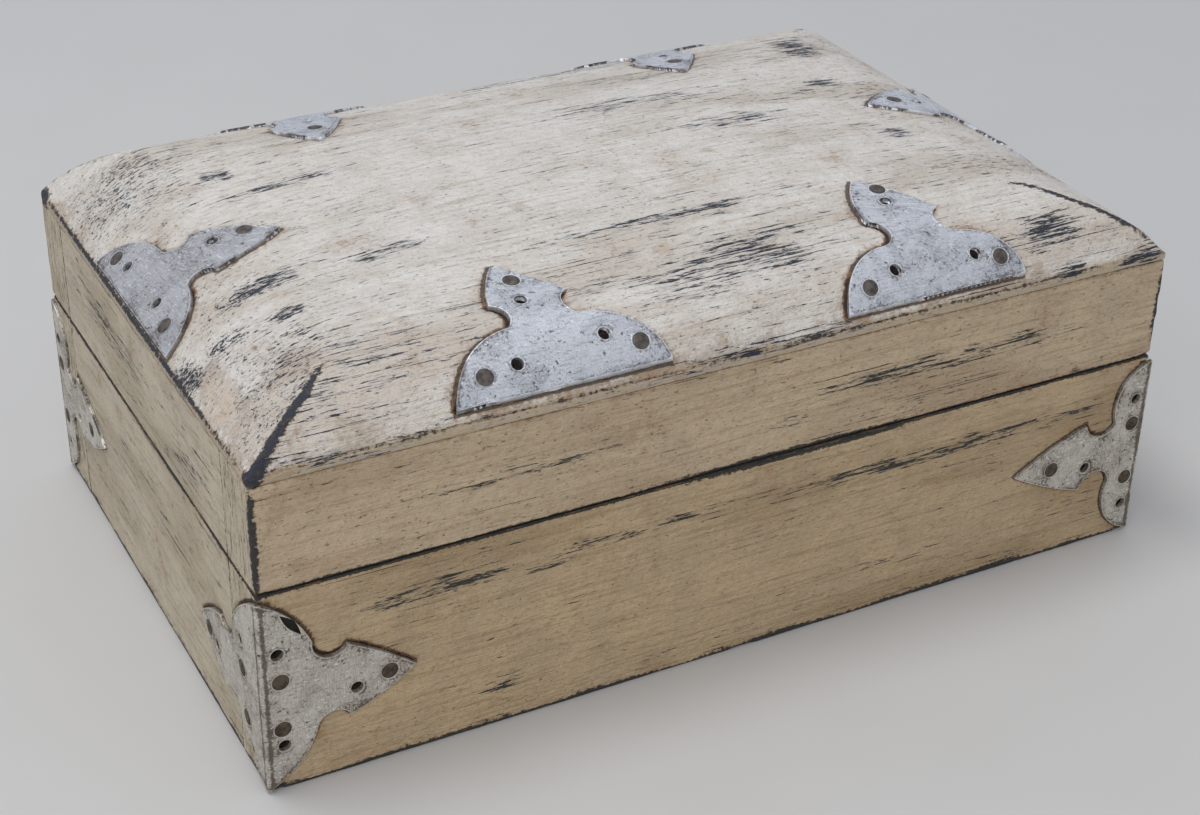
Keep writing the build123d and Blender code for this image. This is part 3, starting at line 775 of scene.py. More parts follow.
class Dome:
    """The domed board of the lid as a height field with worn hips."""

    def __init__(self, name):
        self.low, self.high = node_box(name)
        self.tree = node_tree(name)
        self.top_level = self.high[2] + 1
        self.reach = self.top_level - self.low[2]
        self.lines_x = growing_lines(self.high[0], *end_lines, dome_pitch)
        self.lines_y = growing_lines(self.high[1], *front_lines, dome_pitch)
        self.columns = len(self.lines_x)
        self.rows = len(self.lines_y)
        middle = (self.low[2] + self.high[2]) / 2
        self.flat = grid_points((0, 1, 2), self.lines_x, self.lines_y, middle)
        self.margins = self.high[:2] - np.abs(self.flat[:, :2])
        self.inset = np.min(self.margins, axis=1)
        self.read_heights()
        self.end_height = np.tile(self.profile(self.lines_x, 0, end_cuts), self.rows)
        self.long_height = np.repeat(self.profile(self.lines_y, 1, long_cuts), self.columns)
        self.gap = np.abs(self.end_height - self.long_height)
        self.shape_top()
        self.shape_band()

    def read_heights(self):
        """The worn outline seen from above, and the CAD node's heights, averaged off the border."""
        low, high = self.low, self.high
        tall = axis_step(2, 1000.0)
        at_corner = np.all(self.margins < dome_corner_zone, axis=1)
        radius = np.where(at_corner, dome_corner_rounding, dome_rounding)
        self.shaped = rounded(self.flat, low - tall, high + tall, radius)
        starts = kept_inside(self.shaped, low, high, dome_inside_step, (0, 1))
        core = np.full(len(starts), core_rounding)
        starts = rounded(starts, low + inside_step - tall, high - inside_step + tall, core)
        starts[:, 2] = self.top_level
        border = np.any(self.margins < border_width, axis=1)
        drop = depth_below(self.tree, starts, straight_down, self.reach)
        drop[~border] = smooth_depth(
            self.tree, starts[~border], straight_down, self.reach, (0, 1), dome_pitch
        )
        self.height = self.top_level - drop

    def profile(self, lines, way, cuts):
        """The dome's plain profile along one axis: the highest of several cuts, clear of pockets."""
        probe = np.zeros((len(lines), 3))
        probe[:, way] = lines
        probe = kept_inside(probe, self.low, self.high, dome_inside_step, (way,))
        probe[:, 2] = self.top_level
        heights = []
        for cut in cuts:
            probe[:, 1 - way] = cut
            heights.append(self.top_level - depth_below(self.tree, probe, straight_down, self.reach))
        return np.max(heights, axis=0)

    def shape_top(self):
        """Heights with tightened pockets, softened hips, waves and chips."""
        flat = self.flat
        plain = np.minimum(self.end_height, self.long_height)
        pocket = np.where(plain - self.height > shallowest, plain - self.height, 0.0)
        pocket[self.inset < pocket_inset] = 0.0
        lifted = np.column_stack((flat[:, :2], self.height))
        sunk = tightened(lifted, pocket, self.rows, self.columns)
        coarse = 0.5 * noise(flat, cell=14.0, seed=21)
        fine = 0.5 * noise(flat, cell=4.0, seed=22)
        softness = np.maximum(hip_softness * (1 + coarse + fine), 0.2)
        fillet = np.maximum(softness - self.gap, 0) ** 2 / (4 * softness)
        wave = noise(flat, undulation_cell, seed=11) + 0.5 * noise(flat, cell=9.0, seed=12) - 1.5
        wave = wave / 2 * undulation
        height = self.height + pocket - sunk
        self.shaped[:, 2] = height - fillet + wave * np.clip(self.inset / 3, 0, 1)
        self.shaped[:, 2] -= marked(self.shaped, chips) * chip_depth
        self.pocket = pocket
        self.sunk = np.clip(sunk, 0, pocket_reach)

    def shape_band(self):
        """The rings of the lower band, and the softened border above them."""
        border = border_of(self.columns, self.rows)
        rim = self.shaped[border]
        foot = rim[:, 2] - self.low[2]
        uneven = 1 + 0.5 * noise(rim, cell=7.0, seed=31)
        rings = []
        for down, inward in band_rings:
            ring = kept_inside(rim, self.low, self.high, inward * uneven, (0, 1))
            ring[:, 2] = rim[:, 2] - foot * (down / band_height)
            rings.append(ring)
        soft = 0.25 * (1 + noise(rim, cell=6.0, seed=33))
        self.shaped[border] = kept_inside(rim, self.low, self.high, soft, (0, 1))
        self.points = np.vstack([self.shaped] + rings)

    def hip(self):
        """1 along the worn stretches of the hips, by the distance from the hip."""
        difference = (self.end_height - self.long_height).reshape(self.rows, self.columns)
        slope_y, slope_x = np.gradient(difference, self.lines_y, self.lines_x)
        steepness = np.maximum(np.hypot(slope_x, slope_y).ravel(), 0.05)
        return bell(self.gap / steepness, hip_width) * marked(self.shaped, hip_marks)

    def fields(self):
        """What the material reads at each point: the top's fields, with one value for the band."""
        points = self.points
        grid = (self.rows, self.columns)
        band_points = len(points) - len(self.flat)
        crevice = rise(self.pocket, *crevice_rise)
        joined = {
            label: np.concatenate([top, np.full(band_points, band)])
            for label, top, band in (
                ("stain", 0.5 * np.exp(-self.inset / 7), 0.0),
                ("edge", np.exp(-self.inset / 1.2), 0.4),
                ("halo", spread_out(crevice, *grid, 0.75, 3), 0.0),
                ("hip", self.hip(), 0.0),
                ("pit", rise(self.sunk, *pit_rise), 0.0),
                ("crevice", crevice, 0.0),
                ("band", np.clip(1.4 - self.inset / 0.5, 0, 1), 1.0),
                ("bare", spread_out(rise(self.sunk, *bare_rise), *grid, 0.4, 1), 0.0),
            )
        }
        joined["stain"] = np.maximum(joined["stain"], marked(points, stain_marks, 2))
        last_ring = np.arange(len(points)) >= len(points) - band_points // len(band_rings)
        return joined | {
            "worn": marked(points, worn_marks),
            "dark": marked(points, dark_marks),
            "inner": last_ring.astype(float),
            "endgrain": np.zeros(len(points)),
        }


def add_dome(name, material):
    dome = Dome(name)
    faces = shell_faces(dome.columns, dome.rows, len(band_rings))
    mesh = solid_mesh("worn_" + name, dome.points, faces, dome.fields())
    add_piece(name, mesh, material, "lid")


# Metal mounts

def in_leaf(places):
    """1 on the floor and walls of the leaf-shaped flaw."""
    middle = (np.array(leaf_start) + np.array(leaf_stop)) / 2
    away = np.hypot(places[:, 0] - middle[0], places[:, 2] - middle[1])
    sunk = (places[:, 1] > leaf_floor_levels[0]) & (places[:, 1] < leaf_floor_levels[1])
    return ((away < leaf_reach) & sunk).astype(float)


def leaf_prism():
    """Mesh of the leaf-shaped flaw in the front-left bracket, from in front of it into the sheet."""
    start = np.array(leaf_start)
    along = np.array(leaf_stop) - start
    across = np.array((-along[1], along[0])) / np.linalg.norm(along) * leaf_width / 2
    parts = np.linspace(0, 1, leaf_points)
    outline = [start + along * part + across * sin(pi * part) for part in parts]
    for part in parts[-2:0:-1]:
        outline.append(start + along * part - across * sin(pi * part) * leaf_lower_share)
    count = len(outline)
    points = np.array([(x, level, z) for level in leaf_levels for x, z in outline])
    faces = [tuple(range(count)), tuple(range(2 * count - 1, count - 1, -1))]
    for index in range(count):
        following = (index + 1) % count
        faces.append((index, index + count, following + count, following))
    return solid_mesh("leaf", points, faces, {})


def cut_recess(work, cutter_mesh):
    """Takes the cutter's shape out of the sheet in work."""
    mesh = bpy.data.meshes.new("sheet")
    work.to_mesh(mesh)
    sheet = shown("sheet", mesh)
    cutter = shown("cutter", cutter_mesh)
    recess = sheet.modifiers.new("recess", "BOOLEAN")
    recess.operation = "DIFFERENCE"
    recess.solver = "EXACT"
    recess.object = cutter
    bpy.context.view_layer.update()
    shaped = sheet.evaluated_get(bpy.context.evaluated_depsgraph_get())
    work.clear()
    work.from_mesh(shaped.data)
    bpy.data.objects.remove(sheet)
    bpy.data.objects.remove(cutter)


def outline_places(edges):
    """Search tree of places along the edges."""
    places = []
    for edge in edges:
        pieces = max(1, round(edge.calc_length() / (outline_step * MM)))
        for index in range(pieces + 1):
            places.append(edge.verts[0].co.lerp(edge.verts[1].co, index / pieces))
    near = KDTree(len(places))
    for index, place in enumerate(places):
        near.insert(place, index)
    near.balance()
    return near


def cut_into_cells(work, low, high, body, planes):
    """Cuts the sheet across the given axes, with closer cuts beside a bracket's fold."""
    for axis in planes:
        cuts = list(np.arange(low[axis] + metal_pitch, high[axis], metal_pitch))
        if body == "base" and axis < 2:
            cuts += [side * (whole_half[axis] - step) for side in (-1, 1) for step in fold_lines]
        for value in cuts:
            bmesh.ops.bisect_plane(
                work, geom=work.verts[:] + work.edges[:] + work.faces[:], dist=touching * MM,
                plane_co=axis_step(axis, value * MM), plane_no=axis_step(axis, 1.0),
            )


def beat(work, places, seed):
    """Moves the surface slightly in and out, as hammer work does."""
    lift = noise(places, metal_cell, seed) * 0.7 + noise(places, metal_cell / 2.5, seed + 1) * 0.3
    for vertex, amount in zip(work.verts, lift * metal_undulation):
        vertex.co += vertex.normal * float(amount * MM)


def add_mount(name, body, material, seed, planes, cutter_mesh=None):
    """A bracket or plate with softened edges and a slightly beaten surface. planes lists the
    axes on which the sheet is cut into cells."""
    low, high = node_box(name)
    work = bmesh.new()
    work.from_mesh(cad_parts[name].data)
    bmesh.ops.remove_doubles(work, verts=work.verts, dist=merge_distance * MM)
    if cutter_mesh is not None:
        cut_recess(work, cutter_mesh)
    bmesh.ops.dissolve_limit(work, angle_limit=flat_angle, verts=work.verts, edges=work.edges)
    paired = [edge for edge in work.edges if len(edge.link_faces) == 2]
    sharp = [edge for edge in paired if edge.calc_face_angle(0) > sharp_angle]
    near_outline = outline_places(sharp)
    bmesh.ops.bevel(
        work, geom=sharp, offset=metal_bevel * MM, segments=2, profile=0.5,
        affect="EDGES", clamp_overlap=True,
    )
    cut_into_cells(work, low, high, body, planes)
    bmesh.ops.triangulate(work, faces=work.faces)
    work.normal_update()
    places = np.array([vertex.co for vertex in work.verts]) / MM
    away = np.array([near_outline.find(vertex.co)[2] for vertex in work.verts]) / MM
    beat(work, places, seed)
    mesh = bpy.data.meshes.new(name)
    work.to_mesh(mesh)
    work.free()
    mesh.set_sharp_from_angle(angle=shading_angle)
    from_fold = np.maximum(whole_high[0] - np.abs(places[:, 0]), -whole_low[1] - np.abs(places[:, 1]))
    # foot marks a plate's lower edge, which the material darkens with dirt and painted shade
    write_fields(mesh, {
        "rim": np.exp(-away / rim_reach),
        "foot": np.clip(1.3 - (places[:, 2] - low[2]) / foot_height, 0, 1) * (body == "lid"),
        "flaw": in_leaf(places) if cutter_mesh is not None else np.zeros(len(places)),
        "fold": bell(from_fold - fold_dirt_line, fold_dirt_width) * (body == "base"),
    })
    add_piece(name, mesh, material, body)


# Materials

def tone(red, green, blue):
    """A screen colour from 0 to 255 as a linear colour."""
    parts = []
    for value in (red, green, blue):
        part = value / 255
        parts.append(part / 12.92 if part <= 0.04045 else ((part + 0.055) / 1.055) ** 2.4)
    return (*parts, 1.0)


class Finish:
    """A procedural material. Each method adds a node and returns its output."""

    def __init__(self, name, seed=0, shifts=(0.0, 0.0, 0.0)):
        self.material = bpy.data.materials.new(name)
        self.material.use_nodes = True
        self.tree = self.material.node_tree
        self.shader = self.tree.nodes["Principled BSDF"]
        self.shift = [seed * shift for shift in shifts]

    def feed(self, socket, value):
        if isinstance(value, bpy.types.NodeSocket):
            self.tree.links.new(value, socket)
        else:
            socket.default_value = value

    def made(self, kind, output, inputs):
        """A node with its inputs set by name or number."""
        node = self.tree.nodes.new("ShaderNode" + kind)
        for key, value in inputs.items():
            self.feed(node.inputs[key], value)
        return node.outputs[output]

    def noise(self, repeats, detail, roughness, bend=0.0, turn=0.0):
        """Noise from 0 to 1, with repeats cells per millimetre on each axis or on all, turned first."""
        if isinstance(repeats, float):
            repeats = (repeats, repeats, repeats)
        place = self.made("TexCoord", "Object", {})
        if turn:
            rotation = (0.0, 0.0, radians(turn))
            place = self.made("Mapping", "Vector", {"Vector": place, "Rotation": rotation})
        cells = [value / MM for value in repeats]
        place = self.made("Mapping", "Vector", {"Vector": place, "Scale": cells, "Location": self.shift})
        return self.made("TexNoise", "Fac", {
            "Vector": place, "Scale": 1.0, "Detail": detail, "Roughness": roughness, "Distortion": bend,
        })

    def grain_noise(self, grain, slow, quick, detail, roughness, bend=0.0):
        """Noise with slow cells per millimetre along the grain's axis and quick ones across it."""
        return self.noise([slow if axis == grain else quick for axis in range(3)], detail, roughness, bend)

    def step(self, value, low, high, start=0.0, stop=1.0):
        """A smooth rise from start to stop where value goes from low to high."""
        node = self.tree.nodes.new("ShaderNodeMapRange")
        node.interpolation_type = "SMOOTHSTEP"
        for socket, number in zip(node.inputs, (value, low, high, start, stop)):
            self.feed(socket, number)
        return node.outputs["Result"]

    def math(self, operation, first, second):
        node = self.tree.nodes.new("ShaderNodeMath")
        node.operation = operation
        self.feed(node.inputs[0], first)
        self.feed(node.inputs[1], second)
        return node.outputs["Value"]

    def times(self, first, second):
        return self.math("MULTIPLY", first, second)

    def most(self, first, second):
        return self.math("MAXIMUM", first, second)

    def total(self, parts, noises=()):
        """Sum of values times their weights; a noise counts by its distance from its middle."""
        swings = [(self.math("ADD", value, -noise_middle), weight) for value, weight in noises]
        weighted = [self.times(value, weight) for value, weight in list(parts) + swings]
        whole = weighted[0]
        for part in weighted[1:]:
            whole = self.math("ADD", whole, part)
        return whole

    def attributes(self, names):
        """The fields that a mesh carries, by name."""
        found = SimpleNamespace()
        for name in names.split():
            node = self.tree.nodes.new("ShaderNodeAttribute")
            node.attribute_name = name
            setattr(found, name, node.outputs["Fac"])
        return found

    def blend(self, amount, first, second):
        node = self.tree.nodes.new("ShaderNodeMix")
        node.data_type = "RGBA"
        for number, value in ((0, amount), (6, first), (7, second)):
            self.feed(node.inputs[number], value)
        return node.outputs[2]

    def layered(self, color, *coats):
        """Coats laid over a colour, one after another. A coat is its colour, its amount, the value
        that shows where it lies and, unless that is a mask, the bounds of its rise."""
        for coat, amount, value, *bounds in coats:
            mask = self.step(value, *bounds) if bounds else value
            color = self.blend(self.times(mask, amount), color, coat)
        return color

    def finish(self, color, roughness, height, bump, metallic=0.0):
        """The material; bump is the distance in millimetres that a height of 1 stands for."""
        normal = self.made("Bump", "Normal", {"Height": height, "Distance": bump * MM})
        for key, value in (
            ("Base Color", color), ("Roughness", roughness), ("Metallic", metallic), ("Normal", normal)
        ):
            self.feed(self.shader.inputs[key], value)
        return self.material


def bare_wood(finish, grain):
    """Aged bare wood: colour and height."""
    lines = finish.grain_noise(grain, 0.02, 0.55, 4.0, 0.6, 0.4)
    pores = finish.grain_noise(grain, 0.12, 2.6, 3.0, 0.6)
    color = finish.layered(
        tone(134, 103, 72),
        (tone(98, 72, 48), 1.0, lines, 0.35, 0.68),
        (tone(66, 48, 34), 1.0, pores, 0.56, 0.7),
    )
    return color, finish.times(pores, -1.0)


def wood_noises(finish, grain):
    """The noises that the parts of a painted finish share."""
    return SimpleNamespace(
        patches=finish.grain_noise(grain, 0.012, 0.04, 3.0, 0.55),
        clouds=finish.noise(0.07, 5.0, 0.62, 0.5),
        strokes=finish.grain_noise(grain, 0.03, 0.9, 4.0, 0.6, 0.3),
        dashes=finish.grain_noise(grain, 0.095, 1.15, 5.0, 0.68, 0.3),
        threads=finish.grain_noise(grain, 0.02, 1.7, 3.0, 0.55),
        pores=finish.grain_noise(grain, 0.5, 3.4, 3.0, 0.6),
        ragged=finish.noise(0.7, 4.0, 0.65),
        lumps=finish.grain_noise(grain, 0.2, 0.4, 4.0, 0.6),
        flecks=finish.grain_noise(grain, 0.55, 1.3, 4.0, 0.72),
    )


def aged_paint(finish, coat, mesh, random):
    """The paint's colour, uneven and glazed with age."""
    clouds = random.clouds
    # The dome's upright band takes a tone of the sides: partly painted shade
    band_color = finish.layered(coat.band_paint, (coat.glaze, 1.0, clouds, 0.4, 0.62))
    rusty = finish.total([(clouds, 0.6), (random.flecks, 0.4), (mesh.edge, 0.05)])
    return finish.layered(
        coat.paint,
        (coat.second_paint, 1.0, clouds, 0.36, 0.66),
        (end_paint, 0.9, mesh.endgrain),
        (band_color, 1.0, mesh.band),
        (coat.glaze, 0.55, random.strokes, 0.48, 0.7),
        (coat.glaze, 0.5, random.patches, 0.48, 0.64),
        (coat.glaze, 0.35, random.pores, 0.52, 0.7),
        (coat.glaze, 0.4, random.lumps, 0.53, 0.7),
        (coat.glaze, 0.25, random.ragged, 0.5, 0.68),
        (rust_brown, 0.55, rusty, 0.58, 0.66),
    )


def stained_paint(finish, color, mesh, random):
    """Placed stains with a darker margin, and a brown rim of dirt round the mounts."""
    stain = finish.total([(mesh.stain, 1.0)], [(random.clouds, 1.1), (random.ragged, 0.5)])
    margin = finish.times(finish.step(stain, 0.35, 0.5), finish.step(stain, 0.7, 0.5))
    rim_dirt = finish.total([(mesh.halo, 0.8)], [(random.ragged, 1.3), (random.clouds, 0.9)])
    return finish.layered(
        color,
        (stain_brown, 0.5, stain, 0.3, 0.85),
        (margin_brown, 0.22, margin),
        (rim_brown, 0.6, rim_dirt, 0.32, 0.8),
    )


def worn_paint(finish, color, coat, mesh, random):
    """Paint lost in dashes and threads along the grain and rubbed off at edges and hips, and painted
    shade at the seam and the lower edge drawn the same way: the colour, where the paint is gone or
    the shade is painted, and where flecks are."""
    loss = finish.total(
        [(random.dashes, 1.0), (mesh.worn, 0.165)],
        [(random.patches, 0.28), (random.pores, 0.34), (random.strokes, 0.2)],
    )
    long_loss = finish.total(
        [(random.threads, 1.0), (mesh.worn, 0.05)], [(random.patches, 0.45), (random.pores, 0.16)]
    )
    # The dark field adds painted shade at the seam and the lower edge, drawn as paint rubbed to the dark
    # coat
    rubbed_and_shaded = finish.total(
        [(mesh.edge, 0.20), (mesh.hip, 0.66), (mesh.dark, 0.60)],
        [(random.ragged, 0.9), (random.strokes, 0.5), (random.dashes, 0.5)],
    )
    threshold = coat.threshold
    lost = finish.step(loss, threshold, threshold + 0.022)
    long_lost = finish.step(long_loss, thread_threshold, thread_threshold + 0.02)
    gone_and_shaded = finish.most(finish.most(lost, long_lost), finish.step(rubbed_and_shaded, 0.33, 0.42))
    fleck = finish.step(random.flecks, 0.63, 0.68)
    under = finish.layered(coat.under, (under_brown, 1.0, random.ragged, 0.52, 0.68))
    color = finish.layered(
        color,
        (coat.faded, 0.6, loss, threshold - 0.085, threshold + 0.01),
        (rubbed_and_shaded_brown, 0.7, rubbed_and_shaded, 0.20, 0.36),
        (fleck_brown, 0.7, fleck),
        (under, 1.0, gone_and_shaded),
    )
    return color, gone_and_shaded, fleck


def painted_wood(name, grain, coat, seed):
    """Distressed paint over a dark coat on wood; grain is the axis of the wood's grain."""
    finish = Finish(name, seed, (3.7, 1.9, 5.3))
    mesh = finish.attributes("worn dark edge hip bare stain inner endgrain pit band crevice halo")
    random = wood_noises(finish, grain)
    color = aged_paint(finish, coat, mesh, random)
    color = stained_paint(finish, color, mesh, random)
    color, gone_and_shaded, fleck = worn_paint(finish, color, coat, mesh, random)

    # Dirt with painted shade in the crevices round the mounts, raw wood at the pockets, sawn ends, the
    # bare inside, and painted shade in deep holes
    crevice_dirt_and_shade = finish.total([(mesh.crevice, 1.0)], [(random.ragged, 0.8)])
    open_wood = finish.total([(mesh.bare, 1.0)], [(random.ragged, 0.9)])
    scratchy = finish.noise((1.0, 1.0, 0.14), 4.0, 0.7)
    sawn = finish.times(mesh.endgrain, finish.step(scratchy, 0.55, 0.62))
    finish.shift = (0.0, 0.0, 0.0)
    wood, _ = bare_wood(finish, grain)
    color = finish.layered(
        color,
        (dirt_and_shade_brown, 0.85, crevice_dirt_and_shade, 0.35, 0.75),
        (raw_wood, 1.0, open_wood, 0.2, 0.42),
        (deep_wood, 1.0, open_wood, 0.45, 0.75),
        (sawn_grey, 0.75, sawn),
        (wood, 1.0, mesh.inner),
        (hole_shade_black, 1.0, mesh.pit),
    )
    height = finish.total([
        (gone_and_shaded, -0.9), (random.strokes, 1.5), (random.pores, -0.9), (random.lumps, 3.2),
        (random.ragged, 1.7), (fleck, -0.6), (sawn, -0.6),
    ])
    gloss = finish.step(gone_and_shaded, 0.0, 1.0, coat.gloss, 0.66)
    roughness = finish.total([(gloss, 1.0)], [(random.clouds, 0.35)])
    return finish.finish(color, roughness, height, bump=0.3)


def plain_wood(name, grain):
    finish = Finish(name)
    color, height = bare_wood(finish, grain)
    dust = finish.noise(0.05, 4.0, 0.6)
    color = finish.layered(color, (tone(150, 130, 104), 0.4, dust, 0.45, 0.7))
    return finish.finish(color, finish.step(dust, 0.3, 0.7, 0.6, 0.8), height, bump=0.12)


def sheet_metal(name, sheet, seed):
    """Dull sheet with mottling, scratches, pits, grime at its edges and rims worn bright with a painted
    highlight; a plate's lower edge darker with dirt and painted shade.
    """
    finish = Finish(name, seed, (2.3, 4.1, 1.7))
    mesh = finish.attributes("rim foot fold flaw")
    clouds = finish.noise(0.10, 5.0, 0.62, 0.4)
    fine = finish.noise(1.3, 5.0, 0.72)
    scores = finish.noise((0.06, 1.5, 1.5), 4.0, 0.65, 0.2, turn=28)
    nicks = finish.noise((1.7, 0.08, 1.7), 4.0, 0.65, 0.2, turn=-17)
    weave = finish.noise((0.25, 0.25, 3.0), 3.0, 0.6)
    cross = finish.noise((3.0, 3.0, 0.25), 3.0, 0.6)
    spots = finish.noise(0.5, 4.0, 0.7)

    # Rims worn bright, partly a painted highlight along the edges
    rim_wear_and_highlight = finish.step(mesh.rim, 0.8, 0.9)
    rub_lines = finish.most(finish.step(weave, 0.52, 0.66), finish.step(cross, 0.52, 0.66))
    scratch = finish.most(finish.step(scores, 0.595, 0.63), finish.step(nicks, 0.61, 0.645))
    dark_scores = finish.most(finish.step(scores, 0.36, 0.33), finish.step(nicks, 0.35, 0.32))
    pits = finish.step(spots, 0.62, 0.66)
    # Dirt at the rims and the fold; along a plate's lower edge dirt with painted shade
    dirt_and_shade = finish.total(
        [(mesh.rim, 0.55), (mesh.foot, 0.3), (mesh.fold, sheet.fold_dirt), (rim_wear_and_highlight, -0.4)],
        [(clouds, 0.9), (fine, 1.1)],
    )
    dirt_and_shade_mask = finish.times(finish.step(dirt_and_shade, 0.3, 0.55), sheet.grime_amount)
    rust = finish.total([(finish.step(clouds, 0.42, 0.62), 0.12), (fine, 1.0)])
    color = finish.layered(
        sheet.bright,
        (sheet.dull, 0.65, clouds, 0.38, 0.66),
        (sheet.dull, 0.4, fine, 0.48, 0.66),
        (sheet.grime, 0.3, rub_lines),
        (scratch_white, 0.7, scratch),
        (sheet.grime, 0.55, dark_scores),
        (sheet.grime, 0.85, pits),
        (sheet.grime, 1.0, dirt_and_shade_mask),
        (metal_rust, 0.65, rust, 0.66, 0.72),
        (sheet.edge_tone, 0.5, rim_wear_and_highlight),
        (flaw_black, 1.0, mesh.flaw),
    )
    cloudy = finish.step(clouds, 0.3, 0.7, sheet.roughness - 0.08, sheet.roughness + 0.1)
    roughness = finish.total([(cloudy, 1.0)], [(fine, 0.5)])
    height = finish.total([
        (scratch, -0.5), (pits, -1.0), (dark_scores, -0.7), (fine, 0.8), (rub_lines, -0.4)
    ])
    metallic = finish.step(dirt_and_shade_mask, 0.0, 1.0, sheet.metallic, sheet.metallic * 0.35)
    return finish.finish(color, roughness, height, bump=0.11, metallic=metallic)


def dark_steel(name, light, deep, metallic, seed):
    """Nail heads, pins, screws and hinges: darkened steel with rubbed spots."""
    finish = Finish(name, seed, (1.3, 2.9, 0.7))
    spots = finish.noise(0.5, 5.0, 0.65)
    fine = finish.noise(2.2, 4.0, 0.65)
    color = finish.layered(
        light, (deep, 1.0, spots, 0.38, 0.62), (tone(92, 70, 50), 0.5, fine, 0.5, 0.68)
    )
    roughness = finish.step(spots, 0.3, 0.7, 0.42, 0.66)
    return finish.finish(color, roughness, fine, bump=0.12, metallic=metallic)


def floor_finish():
    """Pale plain floor."""
    finish = Finish("pale_floor")
    mottle = finish.noise(0.02, 3.0, 0.5)
    color = finish.layered(tone(193, 191, 187), (tone(197, 195, 192), 1.0, mottle))
    return finish.finish(color, finish.step(mottle, 0.3, 0.7, 0.6, 0.7), mottle, bump=0.01)


def dress_node(name, material):
    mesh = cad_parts[name].data
    mesh.materials.clear()
    mesh.materials.append(material)


# Colours of age and dirt, and of painted shade in crevices and deep holes
rust_brown = tone(160, 120, 78)
stain_brown = tone(184, 154, 120)
margin_brown = tone(120, 92, 62)
rim_brown = tone(148, 114, 78)
rubbed_and_shaded_brown = tone(128, 106, 82)
fleck_brown = tone(86, 68, 50)
under_brown = tone(76, 62, 48)
dirt_and_shade_brown = tone(62, 52, 42)
raw_wood = tone(128, 98, 68)
deep_wood = tone(66, 46, 30)
sawn_grey = tone(66, 70, 74)
# Painted shade inside deep holes and mortises
hole_shade_black = tone(14, 13, 12)
scratch_white = tone(240, 241, 243)
metal_rust = tone(104, 78, 60)
flaw_black = tone(34, 32, 28)
# The side coat's tone, given to the boards' ends, which face the way the sides do: partly painted shade,
# as with the side coat
end_paint = tone(200, 188, 163)

# Paints: colours, the threshold of paint loss, and the roughness of whole paint. The tones by face are
# partly the paint's own and partly painted light and shade: lighter on the top, darker on the fronts.
front_coat = SimpleNamespace(
    paint=tone(192, 168, 132), second_paint=tone(180, 158, 126), glaze=tone(146, 120, 84),
    under=tone(42, 43, 40), faded=tone(120, 112, 98), band_paint=tone(190, 168, 133),
    threshold=0.695, gloss=0.48,
)
# The front coat again, lighter, for the lid's rails: painted light
lit_lid_front_coat = SimpleNamespace(
    paint=tone(199, 178, 147), second_paint=tone(188, 168, 141), glaze=tone(158, 133, 102),
    under=tone(42, 43, 40), faded=tone(124, 116, 103), band_paint=tone(190, 168, 133),
    threshold=0.695, gloss=0.48,
)
side_coat = SimpleNamespace(
    paint=tone(201, 188, 163), second_paint=tone(190, 179, 158), glaze=tone(160, 142, 112),
    under=tone(44, 46, 46), faded=tone(124, 120, 110), band_paint=tone(190, 170, 140),
    threshold=0.675, gloss=0.5,
)
top_coat = SimpleNamespace(
    paint=tone(220, 215, 207), second_paint=tone(208, 201, 192), glaze=tone(184, 168, 148),
    under=tone(38, 43, 54), faded=tone(138, 142, 150), band_paint=tone(186, 168, 138),
    threshold=0.66, gloss=0.4,
)

# Sheet metals: those of the plates, of the left plate, darker as painted shade, and of the brackets
plate_sheet = SimpleNamespace(
    bright=tone(220, 222, 227), dull=tone(174, 177, 184), grime=tone(88, 85, 80),
    edge_tone=tone(236, 237, 240), grime_amount=0.75, roughness=0.42, metallic=0.8, fold_dirt=0.0,
)
shaded_left_plate_sheet = SimpleNamespace(
    bright=tone(198, 198, 200), dull=tone(156, 157, 160), grime=tone(84, 80, 74),
    edge_tone=tone(214, 214, 216), grime_amount=0.75, roughness=0.48, metallic=0.75, fold_dirt=0.0,
)
bracket_sheet = SimpleNamespace(
    bright=tone(208, 202, 190), dull=tone(164, 156, 144), grime=tone(76, 64, 48),
    edge_tone=tone(196, 189, 176), grime_amount=0.85, roughness=0.5, metallic=0.6, fold_dirt=0.4,
)


# Stage

def make_floor():
    mesh = bpy.data.meshes.new("floor")
    half = floor_half
    corners = [(-half, -half, 0), (half, -half, 0), (half, half, 0), (-half, half, 0)]
    mesh.from_pydata(corners, [], [(0, 1, 2, 3)])
    mesh.materials.append(floor_finish())
    shown("floor", mesh)


def make_light(name, place, size, energy, color):
    """A round soft light that looks at the box."""
    data = bpy.data.lights.new(name, "AREA")
    data.shape = "DISK"
    data.size = size
    data.energy = energy
    data.color = color
    light = shown(name, data)
    light.location = place
    light.rotation_euler = (Vector(place) - Vector(light_aim)).to_track_quat("Z", "Y").to_euler()


def make_world(color, strength):
    world = bpy.data.worlds.new("world")
    bpy.context.scene.world = world
    world.use_nodes = True
    background = world.node_tree.nodes["Background"]
    background.inputs["Color"].default_value = color
    background.inputs["Strength"].default_value = strength


make_camera()
make_floor()
make_world(color=(0.87, 0.91, 1.0, 1.0), strength=0.66)
make_light("window", place=(-0.3, 0.12, 1.35), size=0.5, energy=6.6, color=(0.95, 0.97, 1.0))
make_light("fill", place=(-0.9, -1.0, 0.9), size=1.2, energy=6.0, color=(1.0, 0.96, 0.9))

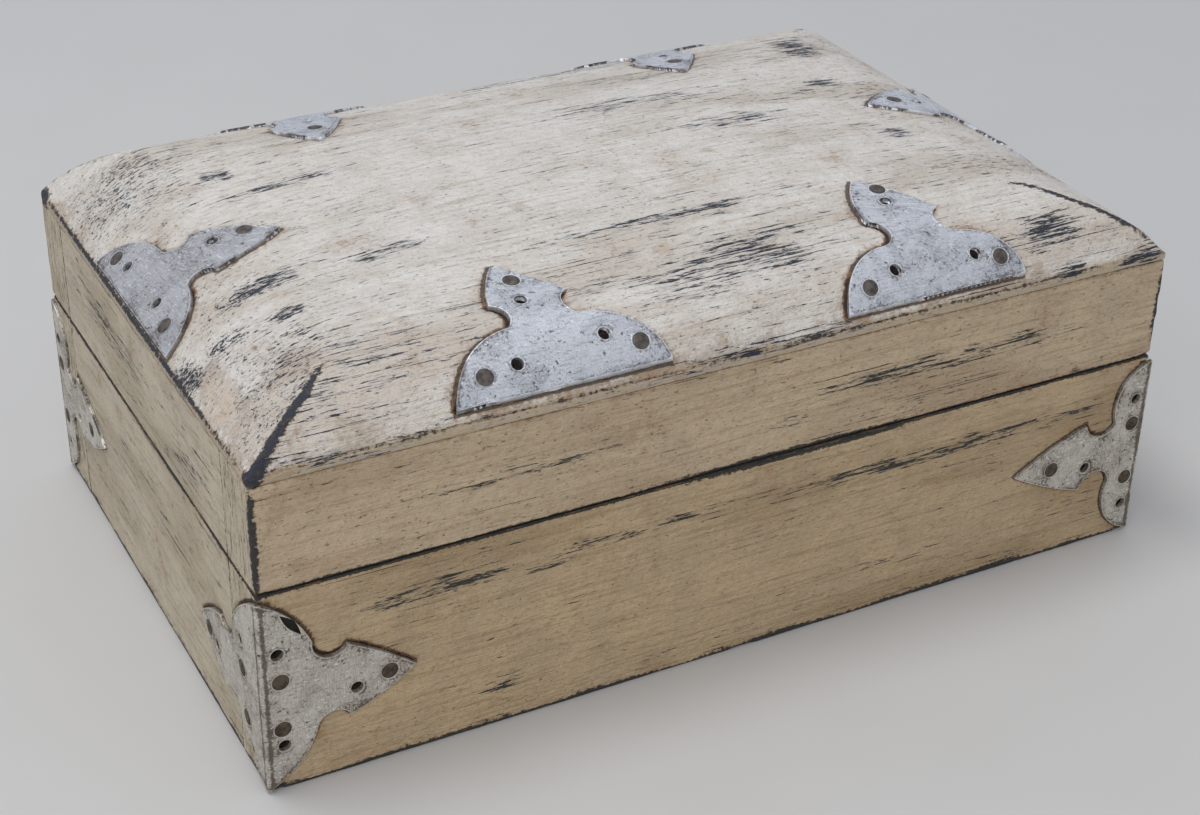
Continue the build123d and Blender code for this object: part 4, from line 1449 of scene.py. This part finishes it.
along_x = painted_wood("paint_along_x", 0, front_coat, seed=1)
# The lid's rails take the lighter copy of the front coat: painted light
lit_lid_along_x = painted_wood("paint_lid_along_x", 0, lit_lid_front_coat, seed=4)
along_y = painted_wood("paint_along_y", 1, side_coat, seed=2)
top_paint = painted_wood("paint_top", 0, top_coat, seed=3)
bottom_wood = plain_wood("bare_panel", 0)
plate_metal = sheet_metal("plate_metal", plate_sheet, seed=1)
bracket_metal = sheet_metal("bracket_metal", bracket_sheet, seed=2)
shaded_left_plate_metal = sheet_metal("shaded_plate_metal", shaded_left_plate_sheet, seed=3)
plate_nail_steel = dark_steel("plate_nail_steel", tone(110, 103, 99), tone(76, 71, 67), 0.7, seed=1)
bracket_nail_steel = dark_steel("bracket_nail_steel", tone(92, 82, 68), tone(58, 50, 40), 0.6, seed=2)
hinge_steel = dark_steel("hinge_steel", tone(176, 172, 166), tone(136, 128, 120), 0.75, seed=3)

corners = ("front_left", "front_right", "back_left", "back_right")
bracket_zones = [let_in_zones("corner_bracket_", corners, axis) for axis in (0, 1)]
hinge_zones = let_in_zones("hinge_base_leaf_", ("left", "right"), 0)
add_board("base_front_board", 1, -1, along_x, bracket_zones[0])
add_board("base_back_board", 1, 1, along_x, bracket_zones[0] + hinge_zones)
add_board("base_left_board", 0, -1, along_y, bracket_zones[1])
add_board("base_right_board", 0, 1, along_y, bracket_zones[1])
add_board("lid_front_rail", 1, -1, lit_lid_along_x, [])
add_board("lid_back_rail", 1, 1, lit_lid_along_x, hinge_zones)
add_board("lid_left_rail", 0, -1, along_y, [])
add_board("lid_right_rail", 0, 1, along_y, [])
add_dome("lid_top_board", top_paint)

for number, corner in enumerate(corners):
    flaw = leaf_prism() if corner == "front_left" else None
    seed = bracket_seed + number * 2
    add_mount("corner_bracket_" + corner, "base", bracket_metal, seed, (0, 1, 2), flaw)
for number, spot in enumerate(("front_left", "front_right", "right", "back_right", "back_left", "left")):
    # The left plate takes a darker copy of the plates' metal: painted shade
    metal = shaded_left_plate_metal if spot == "left" else plate_metal
    add_mount("lid_plate_" + spot, "lid", metal, plate_seed + number * 2, (0, 1))

dress_node("base_bottom_panel", bottom_wood)
dress_node("lid_plate_nails", plate_nail_steel)
dress_node("bracket_nails", bracket_nail_steel)
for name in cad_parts:
    if name.startswith("hinge") or name == "bottom_panel_pins":
        dress_node(name, hinge_steel)

bpy.context.scene.view_settings.view_transform = "Standard"
